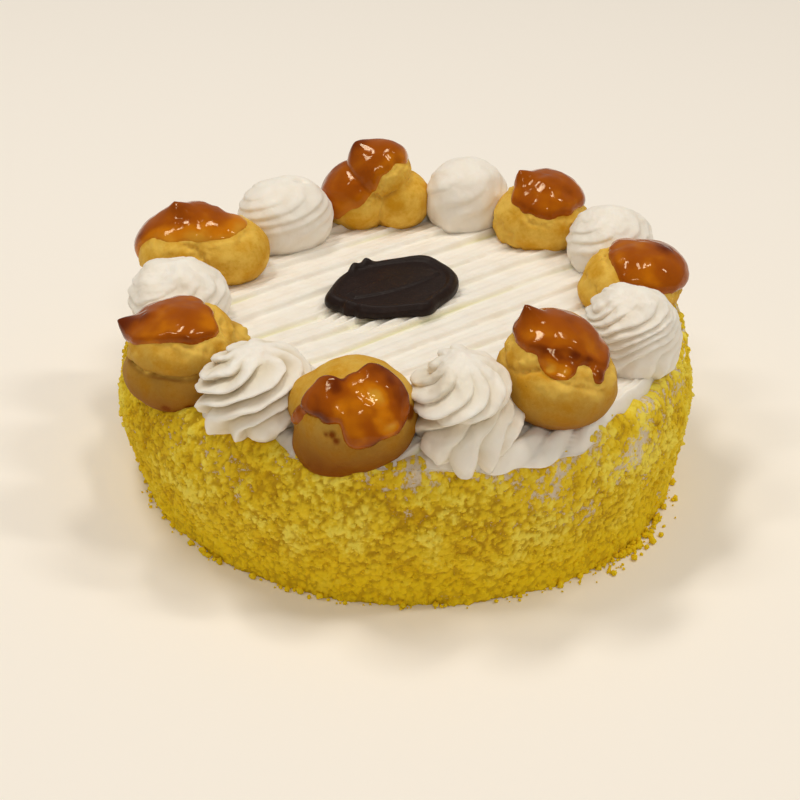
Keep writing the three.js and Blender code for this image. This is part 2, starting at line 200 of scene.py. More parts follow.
class Noise:
    """Seeded unevenness over places in millimetres."""

    def __init__(self, seed: int) -> None:
        """Keeps the seed that tells one kind of unevenness from another."""
        self.seed = seed

    def lattice(self, cells: Array, salt: int) -> Array:
        """A fixed share from 0 to 1 for each whole-numbered cell.

        Args:
            cells: Cell numbers, three for each place.
            salt: Picks one of several unrelated shares.

        Returns:
            One share for each cell.
        """
        mask = 0xFFFFFFFF
        mixed = cells[..., 0] * 374761393 + cells[..., 1] * 668265263 + cells[..., 2] * 1440662683
        mixed = (mixed + (self.seed * 7919 + salt * 104729) * 97) & mask
        mixed = ((mixed ^ (mixed >> 13)) * 1274126177) & mask
        mixed = ((mixed ^ (mixed >> 16)) * 668265263) & mask
        return (mixed ^ (mixed >> 15)) / mask

    def smooth(self, points: Array, size: float) -> Array:
        """Soft swells.

        Args:
            points: Places to read.
            size: Distance from one swell to the next.

        Returns:
            Heights from -1 to 1.
        """
        cell = points / size
        base = np.floor(cell).astype(np.int64)
        share = ease(cell - base, 0.0, 1.0)
        total = np.zeros(points.shape[:-1])
        for corner in np.ndindex(2, 2, 2):
            sides = np.where(np.array(corner) == 1, share, 1.0 - share)
            total += sides.prod(axis=-1) * self.lattice(base + np.array(corner), 0)
        return 2.0 * total - 1.0

    def __call__(self, points: Array, size: float, layers: int = 3) -> Array:
        """Swells with smaller swells on them.

        Args:
            points: Places to read.
            size: Distance between the largest swells.
            layers: How many sizes there are, each half the one before.

        Returns:
            Heights from about -1 to 1.
        """
        total = np.zeros(points.shape[:-1])
        for layer in range(layers):
            total += self.smooth(points + 37.0 * layer, size / 2**layer) / 2**layer
        return total / (2.0 - 2.0 ** (1 - layers))

    def grains(self, points: Array, size: float) -> tuple[Array, Array]:
        """Grains packed at uneven places.

        Args:
            points: Places to read, one row each.
            size: Mean distance from grain to grain.

        Returns:
            Distance to the nearest grain's middle, and a share that is that grain's own.
        """
        cell = points / size
        base = np.floor(cell).astype(np.int64)
        nearest = np.full(len(points), 9.0)
        own = np.zeros(len(points))
        for step in np.ndindex(3, 3, 3):
            place = base + np.array(step) - 1
            jitter = np.stack([self.lattice(place, salt) for salt in (1, 2, 3)], -1)
            away = np.linalg.norm(place + jitter - cell, axis=-1)
            own = np.where(away < nearest, self.lattice(place, 4), own)
            nearest = np.minimum(nearest, away)
        return nearest * size, own


@dataclass
class Shell:
    """Points, triangles and named shares for each point, ready to become a piece."""

    points: Array
    faces: Array
    marks: Marks

    @classmethod
    def stacked(cls, rings: Array, columns: int, ends: Rows, marks: Marks) -> "Shell":
        """A closed body from rings of points that lie one above the other.

        Args:
            rings: The points, ring by ring from the bottom up.
            columns: Points in each ring.
            ends: The middle of the bottom and the tip.
            marks: Shares of the rings' points. The ends have none.

        Returns:
            The body.
        """
        count, ring = len(rings), np.arange(columns)
        faces = [grid_faces(count // columns, columns, True), fan(ring, count, False)]
        faces.append(fan(ring + count - columns, count + 1, True))
        ended = {name: np.append(shares, [0.0, 0.0]) for name, shares in marks.items()}
        return cls(np.concatenate([rings, ends]), np.concatenate(faces), ended)

    def piece(self, name: str, slot: str, nodes: Sequence[str], finish: Material) -> None:
        """Makes the mesh, dresses it and lets it ride with the cake.

        Args:
            name: Name of the piece.
            slot: Material slot of the record for its finish; not used.
            nodes: Solids that it stands for.
            finish: Its material.
        """
        mesh = bpy.data.meshes.new(name)
        mesh.vertices.add(len(self.points))
        mesh.vertices.foreach_set("co", (self.points * METRE).astype(np.float32).ravel())
        mesh.loops.add(self.faces.size)
        mesh.loops.foreach_set("vertex_index", self.faces.astype(np.int32).ravel())
        mesh.polygons.add(len(self.faces))
        mesh.polygons.foreach_set("loop_start", np.arange(0, self.faces.size, 3, dtype=np.int32))
        mesh.update(calc_edges=True)
        mesh.shade_smooth()
        for mark, shares in self.marks.items():
            layer = mesh.attributes.new(mark, "FLOAT", "POINT")
            layer.data.foreach_set("value", np.asarray(shares, np.float32))
        mesh.materials.append(finish)
        made = bpy.data.objects.new(name, mesh)
        bpy.context.scene.collection.objects.link(made)
        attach(made, "root")
        if nodes:
            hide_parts(*nodes)
        LOG.info("%s: %d triangles", name, len(self.faces))


class Value:
    """A socket of a material, used in expressions that add the nodes for them."""

    def __init__(self, graph: "Graph", socket: bpy.types.NodeSocket) -> None:
        """Keeps the socket and the graph that it is in."""
        self.graph = graph
        self.socket = socket

    def __add__(self, other: "Value | float") -> "Value":
        """Sum."""
        return self.graph.maths("ADD", self, other)

    __radd__ = __add__

    def __sub__(self, other: "Value | float") -> "Value":
        """Difference."""
        return self.graph.maths("SUBTRACT", self, other)

    def __rsub__(self, other: float) -> "Value":
        """Difference from a number."""
        return self.graph.maths("SUBTRACT", other, self)

    def __mul__(self, other: "Value | float") -> "Value":
        """Product."""
        return self.graph.maths("MULTIPLY", self, other)

    __rmul__ = __mul__

    def eased(self, low: float, high: float) -> "Value":
        """A share that rises smoothly from 0 at low to 1 at high."""
        sockets = {"Value": self, "From Min": low, "From Max": high}
        return self.graph.node("ShaderNodeMapRange", {"interpolation_type": "SMOOTHSTEP"}, sockets)


class Graph:
    """The nodes of one material."""

    def __init__(self, name: str) -> None:
        """Starts a material with an empty surface.

        Args:
            name: Name of the material.
        """
        self.material = bpy.data.materials.new(name)
        self.material.use_nodes = True
        self.tree = self.material.node_tree
        self.tree.nodes.clear()
        self.places = self.node("ShaderNodeTexCoord", {}, {}, "Object")

    def node(
        self, kind: str, settings: dict[str, object], sockets: dict[str, object], output: str = "0"
    ) -> Value:
        """Adds a node.

        Args:
            kind: Blender's type of node.
            settings: The node's own settings, set first.
            sockets: Values or links of its inputs, by name or, for a number in text, by place.
            output: The output that is wanted, by name or place in the same way.

        Returns:
            That output.
        """
        made = self.tree.nodes.new(kind)
        for name, setting in settings.items():
            setattr(made, name, setting)
        for name, content in sockets.items():
            socket = made.inputs[self.key(name)]
            if isinstance(content, Value):
                self.tree.links.new(content.socket, socket)
            else:
                socket.default_value = content
        return Value(self, made.outputs[self.key(output)])

    @staticmethod
    def key(name: str) -> str | int:
        """A socket's name, or its place where the text is a number."""
        return int(name) if name.isdigit() else name

    def maths(self, operation: str, first: Value | float, second: Value | float) -> Value:
        """Joins two values with a Math node."""
        return self.node("ShaderNodeMath", {"operation": operation}, {"0": first, "1": second})

    def mark(self, name: str) -> Value:
        """A share that the mesh carries for each point."""
        return self.node("ShaderNodeAttribute", {"attribute_name": name}, {}, "Fac")

    def noise(self, size: float, detail: float = 2.0, roughness: float = 0.5) -> Value:
        """Unevenness with swells about so many millimetres apart, from 0 to 1."""
        sockets = {"Scale": 1.0 / (size * METRE), "Detail": detail, "Roughness": roughness}
        return self.node("ShaderNodeTexNoise", {}, {"Vector": self.places} | sockets)

    def blend(self, share: Value | float, first: object, second: object) -> Value:
        """Colour between two colours, or links to colours."""
        sockets = {"0": share, "6": first, "7": second}
        return self.node("ShaderNodeMix", {"data_type": "RGBA"}, sockets, "2")

    def layers(self, colour: object, *layers: tuple[Value, object]) -> Value:
        """Colours laid one over the other.

        Args:
            colour: The lowest colour.
            layers: How much of each colour above it shows, and the colour.

        Returns:
            The colour that they make.
        """
        for share, over in layers:
            colour = self.blend(share, colour, over)
        return colour

    def bump(self, height: Value, depth: float, strength: float = 1.0) -> Value:
        """Fine relief of so many millimetres."""
        sockets = {"Height": height, "Distance": depth * METRE, "Strength": strength}
        return self.node("ShaderNodeBump", {}, sockets, "Normal")

    def surface(self, sockets: dict[str, object]) -> Material:
        """Closes the material with one shader.

        Args:
            sockets: Values or links of the shader's inputs.

        Returns:
            The finished material.
        """
        shader = self.node("ShaderNodeBsdfPrincipled", {}, sockets)
        end = self.tree.nodes.new("ShaderNodeOutputMaterial")
        self.tree.links.new(shader.socket, end.inputs["Surface"])
        return self.material


@dataclass(frozen=True)
class CrumbFinish:
    """Dry yellow sponge crumbs with the cream under them showing where they are thin. Their colour also
    holds painted shade between and under crumbs, painted light on raised clumps and the right side, and
    a painted golden bounce light at the foot.
    """

    name: str
    bright: Colour = tint(255, 233, 92)
    body: Colour = tint(242, 208, 44)
    deep: Colour = tint(222, 179, 22)
    # Colour of the painted shade in the gaps between crumbs.
    hollow_shade: Colour = tint(188, 146, 28)
    # Colour of the painted golden bounce light at the foot of the wall.
    golden: Colour = tint(255, 220, 30)
    cream: Colour = tint(230, 220, 210)

    def material(self) -> Material:
        """Builds the material.

        Returns:
            The material.
        """
        graph = Graph(self.name)
        # The crumbs' own random lightness, plus painted light on raised clumps and on the right side.
        tone = graph.mark("tone") + graph.noise(1.0, 3.0, 0.65) * 0.6 - 0.3
        # The foot mark carries painted golden bounce light, strongest at the base of the wall.
        foot = graph.mark("foot")
        # Painted shade in the gaps between crumbs, weaker towards the foot.
        dip = graph.mark("dip").eased(0.2, 0.9) * (0.75 - 0.25 * foot)
        bare = (graph.mark("thin") + graph.noise(1.0, 3.0, 0.7) * 2.0 - 1.0).eased(0.4, 0.9)
        colour = graph.layers(
            self.deep, (tone.eased(0.05, 0.5), self.body), (tone.eased(0.5, 0.95), self.bright),
            (foot * 0.9, self.golden), (dip, self.hollow_shade), (bare * 0.75, self.cream),
        )
        normal = graph.bump(graph.noise(0.8, 3.0, 0.7), 0.6, 0.9)
        sockets = {"Base Color": colour, "Roughness": 0.92, "Normal": normal}
        sockets |= {"Specular IOR Level": 0.15, "Subsurface Weight": 0.12, "Subsurface Scale": 0.0008}
        sockets |= {"Subsurface Radius": (1.0, 0.7, 0.2)}
        return graph.surface(sockets)


@dataclass(frozen=True)
class CreamFinish:
    """Whipped cream: soft satin, a little yellower in its furrows. On the rosettes the darker furrow
    colour is painted shade, as it is in the troughs beside the plaque.
    """

    name: str
    body: Colour = tint(247, 242, 233)
    shade: Colour = tint(238, 228, 214)
    furrow: Colour = tint(231, 226, 172)

    def material(self) -> Material:
        """Builds the material.

        Returns:
            The material.
        """
        graph = Graph(self.name)
        cloud = graph.noise(9.0, 3.0).eased(0.3, 0.75)
        groove = graph.mark("groove")
        colour = graph.layers(self.body, (cloud * 0.5, self.shade), (groove, self.furrow))
        pores = graph.noise(0.8, 3.0, 0.6) * 0.5 + graph.noise(2.6, 2.0) * 0.7
        normal = graph.bump(pores, 0.3, 0.5)
        rough = graph.noise(3.0, 2.0) * 0.2 + 0.46
        sockets = {"Base Color": colour, "Roughness": rough, "Normal": normal}
        sockets |= {"Specular IOR Level": 0.35, "Subsurface Weight": 0.3, "Subsurface Scale": 0.003}
        sockets |= {"Subsurface Radius": (1.0, 0.85, 0.7)}
        return graph.surface(sockets)


@dataclass(frozen=True)
class ChouxFinish:
    """Baked crust: golden, browner on top and below, pale where it has torn open. The browning below is
    partly painted shade, and the darker creases are painted shade.
    """

    name: str
    gold: Colour = tint(208, 150, 30)
    pale: Colour = tint(238, 198, 92)
    brown: Colour = tint(122, 60, 2)
    speck: Colour = tint(84, 40, 8)

    def material(self) -> Material:
        """Builds the material.

        Returns:
            The material.
        """
        graph = Graph(self.name)
        blotch = graph.noise(8.0, 2.0, 0.5)
        grain = graph.noise(1.3, 3.0, 0.65)
        light = (blotch * 0.8 + grain * 0.3).eased(0.3, 0.8)
        # The baked mark is browning plus painted shade low down and in the creases.
        baked = graph.mark("baked") + blotch * 0.3 - 0.15
        specks = graph.noise(1.0, 2.0).eased(0.71, 0.78)
        colour = graph.layers(
            self.gold, (light, self.pale), (baked.eased(0.1, 0.95), self.brown),
            (graph.mark("torn") * 0.85, self.pale), (specks * 0.35, self.speck),
        )
        normal = graph.bump(grain * 0.6 + graph.noise(0.5, 2.0) * 0.4, 0.4, 0.6)
        rough = grain * 0.25 + 0.4
        sockets = {"Base Color": colour, "Roughness": rough, "Normal": normal}
        sockets |= {"Specular IOR Level": 0.05, "Subsurface Weight": 0.1, "Subsurface Scale": 0.002}
        sockets |= {"Subsurface Radius": (1.0, 0.5, 0.15)}
        return graph.surface(sockets)


@dataclass(frozen=True)
class CaramelFinish:
    """Glassy boiled sugar: bright amber where it is thin and red-brown where it is thick."""

    name: str
    film: Colour = tint(216, 154, 46)
    thin: Colour = tint(200, 116, 2)
    body: Colour = tint(160, 78, 0)
    thick: Colour = tint(102, 35, 0)

    def material(self) -> Material:
        """Builds the material.

        Returns:
            The material.
        """
        graph = Graph(self.name)
        swirl = graph.noise(6.0, 3.0, 0.55)
        depth = graph.mark("depth") + swirl * 0.2 - 0.1
        colour = graph.layers(
            self.film, (depth.eased(-0.45, 0.1), self.thin), (depth.eased(0.05, 0.55), self.body),
            (depth.eased(0.5, 1.1), self.thick),
        )
        normal = graph.bump(graph.noise(5.0, 2.0), 0.6, 0.22)
        sockets = {"Base Color": colour, "Roughness": 0.09, "Normal": normal, "IOR": 1.34}
        sockets |= {"Specular Tint": (1.0, 0.86, 0.62, 1.0)}
        return graph.surface(sockets)


@dataclass(frozen=True)
class ChocolateFinish:
    """Moulded dark chocolate with a satin face and a trace of pale bloom."""

    name: str
    body: Colour = tint(30, 16, 12)
    bloom: Colour = tint(48, 32, 26)

    def material(self) -> Material:
        """Builds the material.

        Returns:
            The material.
        """
        graph = Graph(self.name)
        cloud = graph.noise(5.0, 4.0, 0.6)
        colour = graph.blend(cloud.eased(0.45, 0.85) * 0.7, self.body, self.bloom)
        rough = graph.noise(2.2, 3.0) * 0.3 + 0.32
        normal = graph.bump(graph.noise(0.9, 3.0, 0.6) + cloud, 0.25, 0.5)
        sockets = {"Base Color": colour, "Roughness": rough, "Normal": normal}
        sockets |= {"Specular IOR Level": 0.2}
        return graph.surface(sockets)


@dataclass(frozen=True)
class FloorFinish:
    """Plain pale floor."""

    name: str
    body: Colour = tint(253, 248, 241)
    shade: Colour = tint(246, 238, 229)

    def material(self) -> Material:
        """Builds the material.

        Returns:
            The material.
        """
        graph = Graph(self.name)
        faint = graph.blend(graph.noise(400.0, 2.0) * 0.1, self.body, self.shade)
        return graph.surface({"Base Color": faint, "Roughness": 0.9, "Specular IOR Level": 0.1})


@dataclass(frozen=True)
class Deck:
    """The slightly tilted top of the sponge, on which the toppings are laid out."""

    height: float = 60.0
    tilt: float = math.radians(1.3)

    def to_world(self, points: Array) -> Array:
        """Moves points from the deck's own axes to the cake's.

        Args:
            points: Places across the deck and above it.

        Returns:
            The same places above the cake's base.
        """
        x, y, h = points[..., 0], points[..., 1], points[..., 2]
        c, s = math.cos(self.tilt), math.sin(self.tilt)
        return np.stack([x * c - h * s, y, self.height + x * s + h * c], -1)


DECK = Deck()


@dataclass
class CrumbCake:
    """The sponge with its uneven coat of crumbs, and the loose crumbs that stick to it."""

    radius: float = 105.5
    bulge: float = 5.5
    left_bulge: float = 3.0
    height: float = 60.0
    lean: float = 1.5
    columns: int = 1200
    rows: int = 82
    clump_size: float = 2.8
    grain_size: float = 1.5
    clump_count: int = 1900
    grain_count: int = 6200
    spill_count: int = 380
    spill_bearing: float = -36.0
    spill_spread: float = 9.0
    dust_count: int = 90
    dust_bearing: float = -124.0
    dust_spread: float = 14.0
    clump_sizes: Pair = (0.5, 1.35)
    grain_sizes: Pair = (0.35, 0.75)
    clump_reach: float = 1.9
    grain_reach: float = 1.05
    clump_height: float = 0.85
    grain_height: float = 0.55
    rim_rise: float = 0.6
    rim_uneven: float = 3.0
    noise: Noise = field(default_factory=lambda: Noise(11))

    def skin(self, bearing: Array, share: Array, lift: Array) -> Array:
        """Places on the side of the cake.

        Args:
            bearing: Angle round the cake.
            share: Share of the height, from 0 at the base to 1 at the top edge.
            lift: How far the place stands out from the plain side.

        Returns:
            The places in the cake's axes.
        """
        swell = self.bulge * np.sin(0.85 * math.pi * share**1.3)
        left = self.left_bulge * np.maximum(0.0, -np.cos(bearing)) * np.sin(math.pi * share)
        radius = self.radius + swell + left + lift
        x, y = radius * np.cos(bearing), radius * np.sin(bearing)
        z = self.height * share * (1.0 + x * math.tan(DECK.tilt) / self.height)
        right = ease(bearing, -0.7, -0.4) * ease(-bearing, -0.7, -0.2)
        rim = self.rim_rise + right + self.rim_uneven * self.noise(flat(x, y) + 400.0, 9.0, 2)
        z += rim * ease(share, 0.86, 1.0)
        return np.stack([x - self.lean * z / self.height, y, z], -1)

    def coat(self, bearing: Array, share: Array) -> tuple[Array, Marks]:
        """Relief and shares of the crumb coat.

        Args:
            bearing: Angles round the cake.
            share: Shares of its height.

        Returns:
            How far the coat stands out, and its shares of lightness, with painted light on raised
            clumps and the right side, of painted shade between clumps, of thinness, and of painted
            golden bounce light at the foot.
        """
        noise = self.noise
        plain = self.skin(bearing, share, np.zeros_like(share))
        shift = np.stack([noise(plain + 17.0 * axis, 4.0, 2) for axis in range(3)], -1)
        away, own = noise.grains(plain + 1.2 * shift, self.clump_size)
        clump = np.clip(1.0 - (away / self.clump_reach) ** 2, 0.0, 1.0)
        away, _ = noise.grains(plain + 61.0, self.grain_size)
        grain = np.clip(1.0 - (away / self.grain_reach) ** 2, 0.0, 1.0)
        close = self.clump_height * clump + self.grain_height * grain
        body = close + 1.2 * noise(plain + 200.0, 10.0)
        swell = noise(plain, 26.0, 2) + 0.6 * noise(plain, 1.8, 2)
        lift = body + swell - 1.6 - 2.0 * ease(share, 0.94, 1.0) ** 2
        right = ease(np.cos(bearing + 0.5), 0.3, 1.0)
        patch = noise(plain + 90.0, 15.0, 2) + 0.6 * ease(share, 0.25, 0.9) + 0.4 * right
        tone = 0.5 + 0.6 * noise(plain + 150.0, 12.0, 2) + 0.3 * (own - 0.5)
        # Painted light: the right side of the wall is lighter.
        tone = tone + 0.2 * right * ease(share, 0.2, 0.8)
        # Painted light: raised clumps are lighter.
        marks = {"tone": np.clip(tone + 0.3 * (body - 0.8), 0.0, 1.0)}
        # Painted shade: darker where the relief is low, in the gaps between clumps.
        marks["dip"] = np.clip(0.95 - 0.7 * close - 0.25 * body, 0.0, 1.0)
        marks["thin"] = ease(patch + 0.9 * (marks["dip"] - 0.5), 0.5, 1.6)
        # Painted golden bounce light, fading up from the base of the wall.
        marks["foot"] = 1.0 - ease(share, 0.02, 0.5)
        return lift, marks

    def core(self) -> Shell:
        """Shapes the coated sponge.

        Returns:
            One closed body.
        """
        share, bearing = pairs(np.linspace(0.0, 1.0, self.rows), circle(self.columns))
        lift, marks = self.coat(bearing, share)
        ends = [[0.0, 0.0, 0.0], [-self.lean, 0.0, self.height]]
        return Shell.stacked(self.skin(bearing, share, lift), self.columns, ends, marks)

    def crumbs(self, seed: int, count: int, level: int, sizes: Pair) -> Shell:
        """Crumbs stuck all over the side as one mesh, fewer where cream shows.

        Args:
            seed: Seed of the draw.
            count: How many are drawn before the bare places lose theirs.
            level: How finely each is meshed.
            sizes: Radii of the smallest and the largest.

        Returns:
            The crumbs.
        """
        draw = np.random.default_rng(seed)
        bearing = draw.uniform(-math.pi, math.pi, count)
        share = draw.beta(1.05, 1.1, count) * 0.985
        lift, marks = self.coat(bearing, share)
        kept = draw.random(count) > 0.8 * marks["thin"]
        small, large = sizes
        radius = small + (large - small) * draw.random(kept.sum()) ** 1.8
        middle = self.skin(bearing[kept], share[kept], lift[kept] - 0.2 * radius)
        shares = {name: values[kept] for name, values in marks.items()}
        return self.nuggets(draw, middle, radius, level, shares)

    def spill(self, seed: int) -> Shell:
        """Loose crumbs lying at the foot of the cake, most of them at the front right.

        Args:
            seed: Seed of the draw.

        Returns:
            The crumbs as one mesh.
        """
        draw = np.random.default_rng(seed)
        count, third = self.spill_count, self.spill_count // 3
        heap = np.radians(draw.normal(self.spill_bearing, self.spill_spread, third))
        bearing = np.append(draw.uniform(-math.pi, math.pi, count - third), heap)
        radius = 0.35 + 1.3 * draw.random(count) ** 2.5
        beyond = np.abs(draw.normal(0.0, 1.5, count)) - 0.5
        beyond[-third:] *= 2.0
        reach = self.radius + beyond
        middle = np.stack([reach * np.cos(bearing), reach * np.sin(bearing), 0.75 * radius], -1)
        # Loose crumbs on the floor take the full painted golden bounce light.
        shares = {"tone": np.full(count, 0.55), "foot": np.ones(count)}
        return self.nuggets(draw, middle, radius, 1, shares)

    def dust(self, seed: int, top: "CreamTop") -> Shell:
        """Small crumbs that fell on the cream near the rim, most of them at the front left.

        Args:
            seed: Seed of the draw.
            top: The cream that they lie on.

        Returns:
            The crumbs as one mesh.
        """
        draw = np.random.default_rng(seed)
        half = self.dust_count // 2
        rest = self.dust_count - half
        heap = np.radians(draw.normal(self.dust_bearing, self.dust_spread, half))
        bearing = np.append(draw.uniform(-math.pi, math.pi, rest), heap)
        spread = np.append(np.full(rest, 0.8), np.full(half, 1.8))
        reach = top.radius - 0.3 - np.abs(draw.normal(0.0, spread))
        reach -= 4.0 * top.rope_end(np.degrees(bearing))
        x, y = reach * np.cos(bearing), reach * np.sin(bearing)
        radius = 0.35 + 0.5 * draw.random(self.dust_count) ** 1.5
        height = top.level(x, y)[0] + 0.3 * radius
        middle = DECK.to_world(np.stack([x, y, height], -1))
        return self.nuggets(draw, middle, radius, 1, {"tone": np.full(len(radius), 0.6)})

    @staticmethod
    def nuggets(
        draw: np.random.Generator, middle: Array, radius: Array, level: int, shares: Marks
    ) -> Shell:
        """Lumpy bits of sponge, each turned its own way and flat where it meets the ground.

        Args:
            draw: Source of the draws.
            middle: Where each is.
            radius: How large each is.
            level: How finely each is meshed.
            shares: Colour shares of each, 0 where they aren't given.

        Returns:
            All of them as one mesh.
        """
        points, faces = ball(level)
        count, each = len(middle), len(points)
        turn = draw.normal(size=(count, 1, 4))
        turn /= np.linalg.norm(turn, axis=-1, keepdims=True)
        shape = points * draw.uniform(0.62, 1.25, (count, each, 1))
        shape = shape * draw.uniform(0.7, 1.2, (count, 1, 3)) * radius[:, None, None]
        swung = np.cross(turn[..., 1:], shape)
        shape += 2.0 * (turn[..., :1] * swung + np.cross(turn[..., 1:], swung))
        placed = shape + middle[:, None]
        placed[..., 2] = np.maximum(placed[..., 2], 0.0)
        rise = (placed[..., 2] - middle[:, None, 2]) / radius[:, None]
        none = np.zeros(count)
        marks = {name: np.repeat(shares.get(name, none), each) for name in ("tone", "foot")}
        marks["tone"] += np.repeat(0.35 * (draw.random(count) - 0.4), each)
        # Painted shade on the lower side of each crumb.
        marks["dip"] = np.clip(0.1 - 0.3 * rise, 0.0, 0.4).ravel()
        marks["thin"] = np.repeat(none, each)
        numbers = faces + np.arange(count)[:, None, None] * each
        return Shell(placed.reshape(-1, 3), numbers.reshape(-1, 3), marks)

    def dress(self, top: "CreamTop") -> None:
        """Makes the coated sponge and its crumbs.

        Args:
            top: The cream that some of them lie on.
        """
        finish = CrumbFinish("sponge crumb").material()
        self.core().piece("crumb_coat", "crumb", ["crumb_cake"], finish)
        scattered = {
            "large_crumbs": self.crumbs(5, self.clump_count, 1, self.clump_sizes),
            "small_crumbs": self.crumbs(6, self.grain_count, 0, self.grain_sizes),
            "loose_crumbs": self.spill(7),
            "fallen_crumbs": self.dust(8, top),
        }
        for name, shell in scattered.items():
            shell.piece(name, "crumb", [], finish)


@dataclass
class CreamTop:
    """Cream piped in serrated strips side by side across the top, running out over the rim."""

    bearing: float = math.radians(39.0)
    strip_width: float = 14.5
    strip_count: int = 15
    low: float = 2.7
    high: float = 5.1
    teeth: int = 3
    tooth: float = 0.17
    plaque_across: float = -16.2
    plaque_along: float = 4.0
    plaque_halves: Pair = (21.5, 27.5)
    rope_reach: float = 102.5
    rope_height: float = 3.8
    line_gap: float = 3.4
    line_height: float = 0.4
    pleat_reach: float = 103.0
    pleat_degrees: float = 8.0
    pleat_slant: float = 7.5
    pleat_height: float = 3.2
    radius: float = 107.4
    across: int = 440
    along: int = 144
    noise: Noise = field(default_factory=lambda: Noise(23))

    def relief(self, s: Array, u: Array) -> tuple[Array, Array]:
        """Height of the strips and how far each place is down a groove.

        Args:
            s: Distance across the strips.
            u: Distance along them.

        Returns:
            Heights above the sponge, and groove shares.
        """
        noise, spot = self.noise, flat(s, u)
        wavy = s + 1.1 * noise(spot * [0.6, 0.35, 1.0], 11.0, 2)
        place = (wavy + self.strip_count * self.strip_width / 2.0) / self.strip_width
        strip = np.floor(place)
        q = 1.0 - (place - strip)
        numbers = np.stack([strip, np.full_like(strip, 3), np.full_like(strip, 5)], -1)
        uneven = noise.lattice(numbers.astype(np.int64), 0) - 0.5
        streak = noise(spot * [1.0, 0.06, 1.0], 2.2, 2)
        against = self.against_plaque(s, u)
        firm = 1.0 + 0.5 * noise(spot * [0.6, 0.15, 1.0] + 33.0, 9.0, 2)
        comb = np.cos(2.0 * math.pi * (self.teeth * q - 0.15))
        slope = self.high - (self.high - self.low) * q + 0.5 * uneven
        groove_floor = self.low - 0.5
        wave = (self.tooth * firm + 1.3 * against) * comb
        height = groove_floor + (slope + wave - groove_floor) * ease(q, 0.0, 0.1)
        height += 0.22 * streak + 0.45 * noise(spot, 30.0, 2)
        near_edge = bell(np.minimum(q, 1.0 - q) * self.strip_width, 0.6)
        patchy = ease(noise(spot * [1.0, 0.4, 1.0] + 70.0, 16.0, 2), -0.2, 0.5)
        between = np.clip(-comb - 0.7, 0.0, 1.0)
        # Yellower lines along the strip edges, and painted shade in the troughs beside the plaque.
        return height, np.clip(near_edge * patchy + 2.0 * between * against, 0.0, 1.0)

    def against_plaque(self, s: Array, u: Array) -> Array:
        """Where the strips stand up along the front edge of the plaque.

        Args:
            s: Distance across the strips.
            u: Distance along them.

        Returns:
            Shares from 0 to 1.
        """
        across, along = s - self.plaque_across, u - self.plaque_along
        out = np.hypot(across / self.plaque_halves[0], along / self.plaque_halves[1])
        return ease(0.777 * across - 0.629 * along, 0.0, 9.0) * bell(out - 1.0, 0.22)

    def level(self, x: Array, y: Array) -> tuple[Array, Array]:
        """Height of the cream anywhere on the deck.

        Args:
            x: Places across the deck.
            y: Places across the deck.

        Returns:
            Heights that end just under the top edge of the crumbs, and groove shares.
        """
        s, u, _ = turned(flat(x, y), math.pi / 2.0 - self.bearing).T
        height, groove = self.relief(s, u)
        reach, bearing = polar(x, y)
        ragged = self.noise(flat(x, y), 8.0, 2)
        roped, end = self.roped(bearing), self.rope_end(bearing)
        folded = roped * ease(reach, 94.0, 97.5)
        height = height * (1.0 - folded) + folded * self.rope(reach, bearing, ragged)
        start, stop = 98.0 + 4.5 * roped - 3.0 * end, 109.0 - 1.4 * roped - 3.0 * end
        fall = ease(reach + 1.6 * ragged * (1.0 - 0.7 * roped), start, stop)
        return height * (1.0 - fall) - (1.4 + 1.6 * roped) * fall**2, groove * (1.0 - folded)

    @staticmethod
    def roped(bearing: Array) -> Array:
        """Share of the rope of cream that lies along the rim at the front right."""
        return ease(bearing, -84.0, -74.0) * ease(-bearing, 6.0, 20.0)

    @staticmethod
    def rope_end(bearing: Array) -> Array:
        """Share of the right rim, where the cream stays inside the crumbs."""
        return ease(bearing, -66.0, -28.0) * ease(-bearing, -36.0, -16.0)

    @staticmethod
    def lined(bearing: Array) -> Array:
        """Share of the rope's right part, with lines along the rim in place of pleats."""
        return ease(bearing, -57.0, -50.0)

    def pleats(self, reach: Array, bearing: Array) -> Array:
        """Slanting pleats in the left part of the rope.

        Args:
            reach: Distance from the cake's axis.
            bearing: Degrees round it.

        Returns:
            How far up a pleat each place is, from -0.55 to 0.45.
        """
        uneven = 0.25 * self.noise(flat(reach, 1.8 * bearing), 14.0, 2)
        slant = (reach - self.pleat_reach) / self.pleat_slant
        share = np.mod(bearing / self.pleat_degrees + slant + uneven, 1.0)
        return (np.sin(math.pi * share**0.8) ** 1.3 - 0.55) * (1.0 - self.lined(bearing))

    def rope(self, reach: Array, bearing: Array, ragged: Array) -> Array:
        """Height of the rope of cream along the rim.

        Args:
            reach: Distance from the cake's axis.
            bearing: Degrees round it.
            ragged: Unevenness from -1 to 1.

        Returns:
            Heights above the deck.
        """
        line = np.cos(2.0 * math.pi * ((reach - 101.0) / self.line_gap + 0.35 * ragged))
        folds = self.rope_height + self.pleat_height * self.pleats(reach, bearing)
        folds += self.line_height * self.lined(bearing) * line
        return 1.5 + bell(np.maximum(reach - self.rope_reach, 0.0), 5.0) * folds

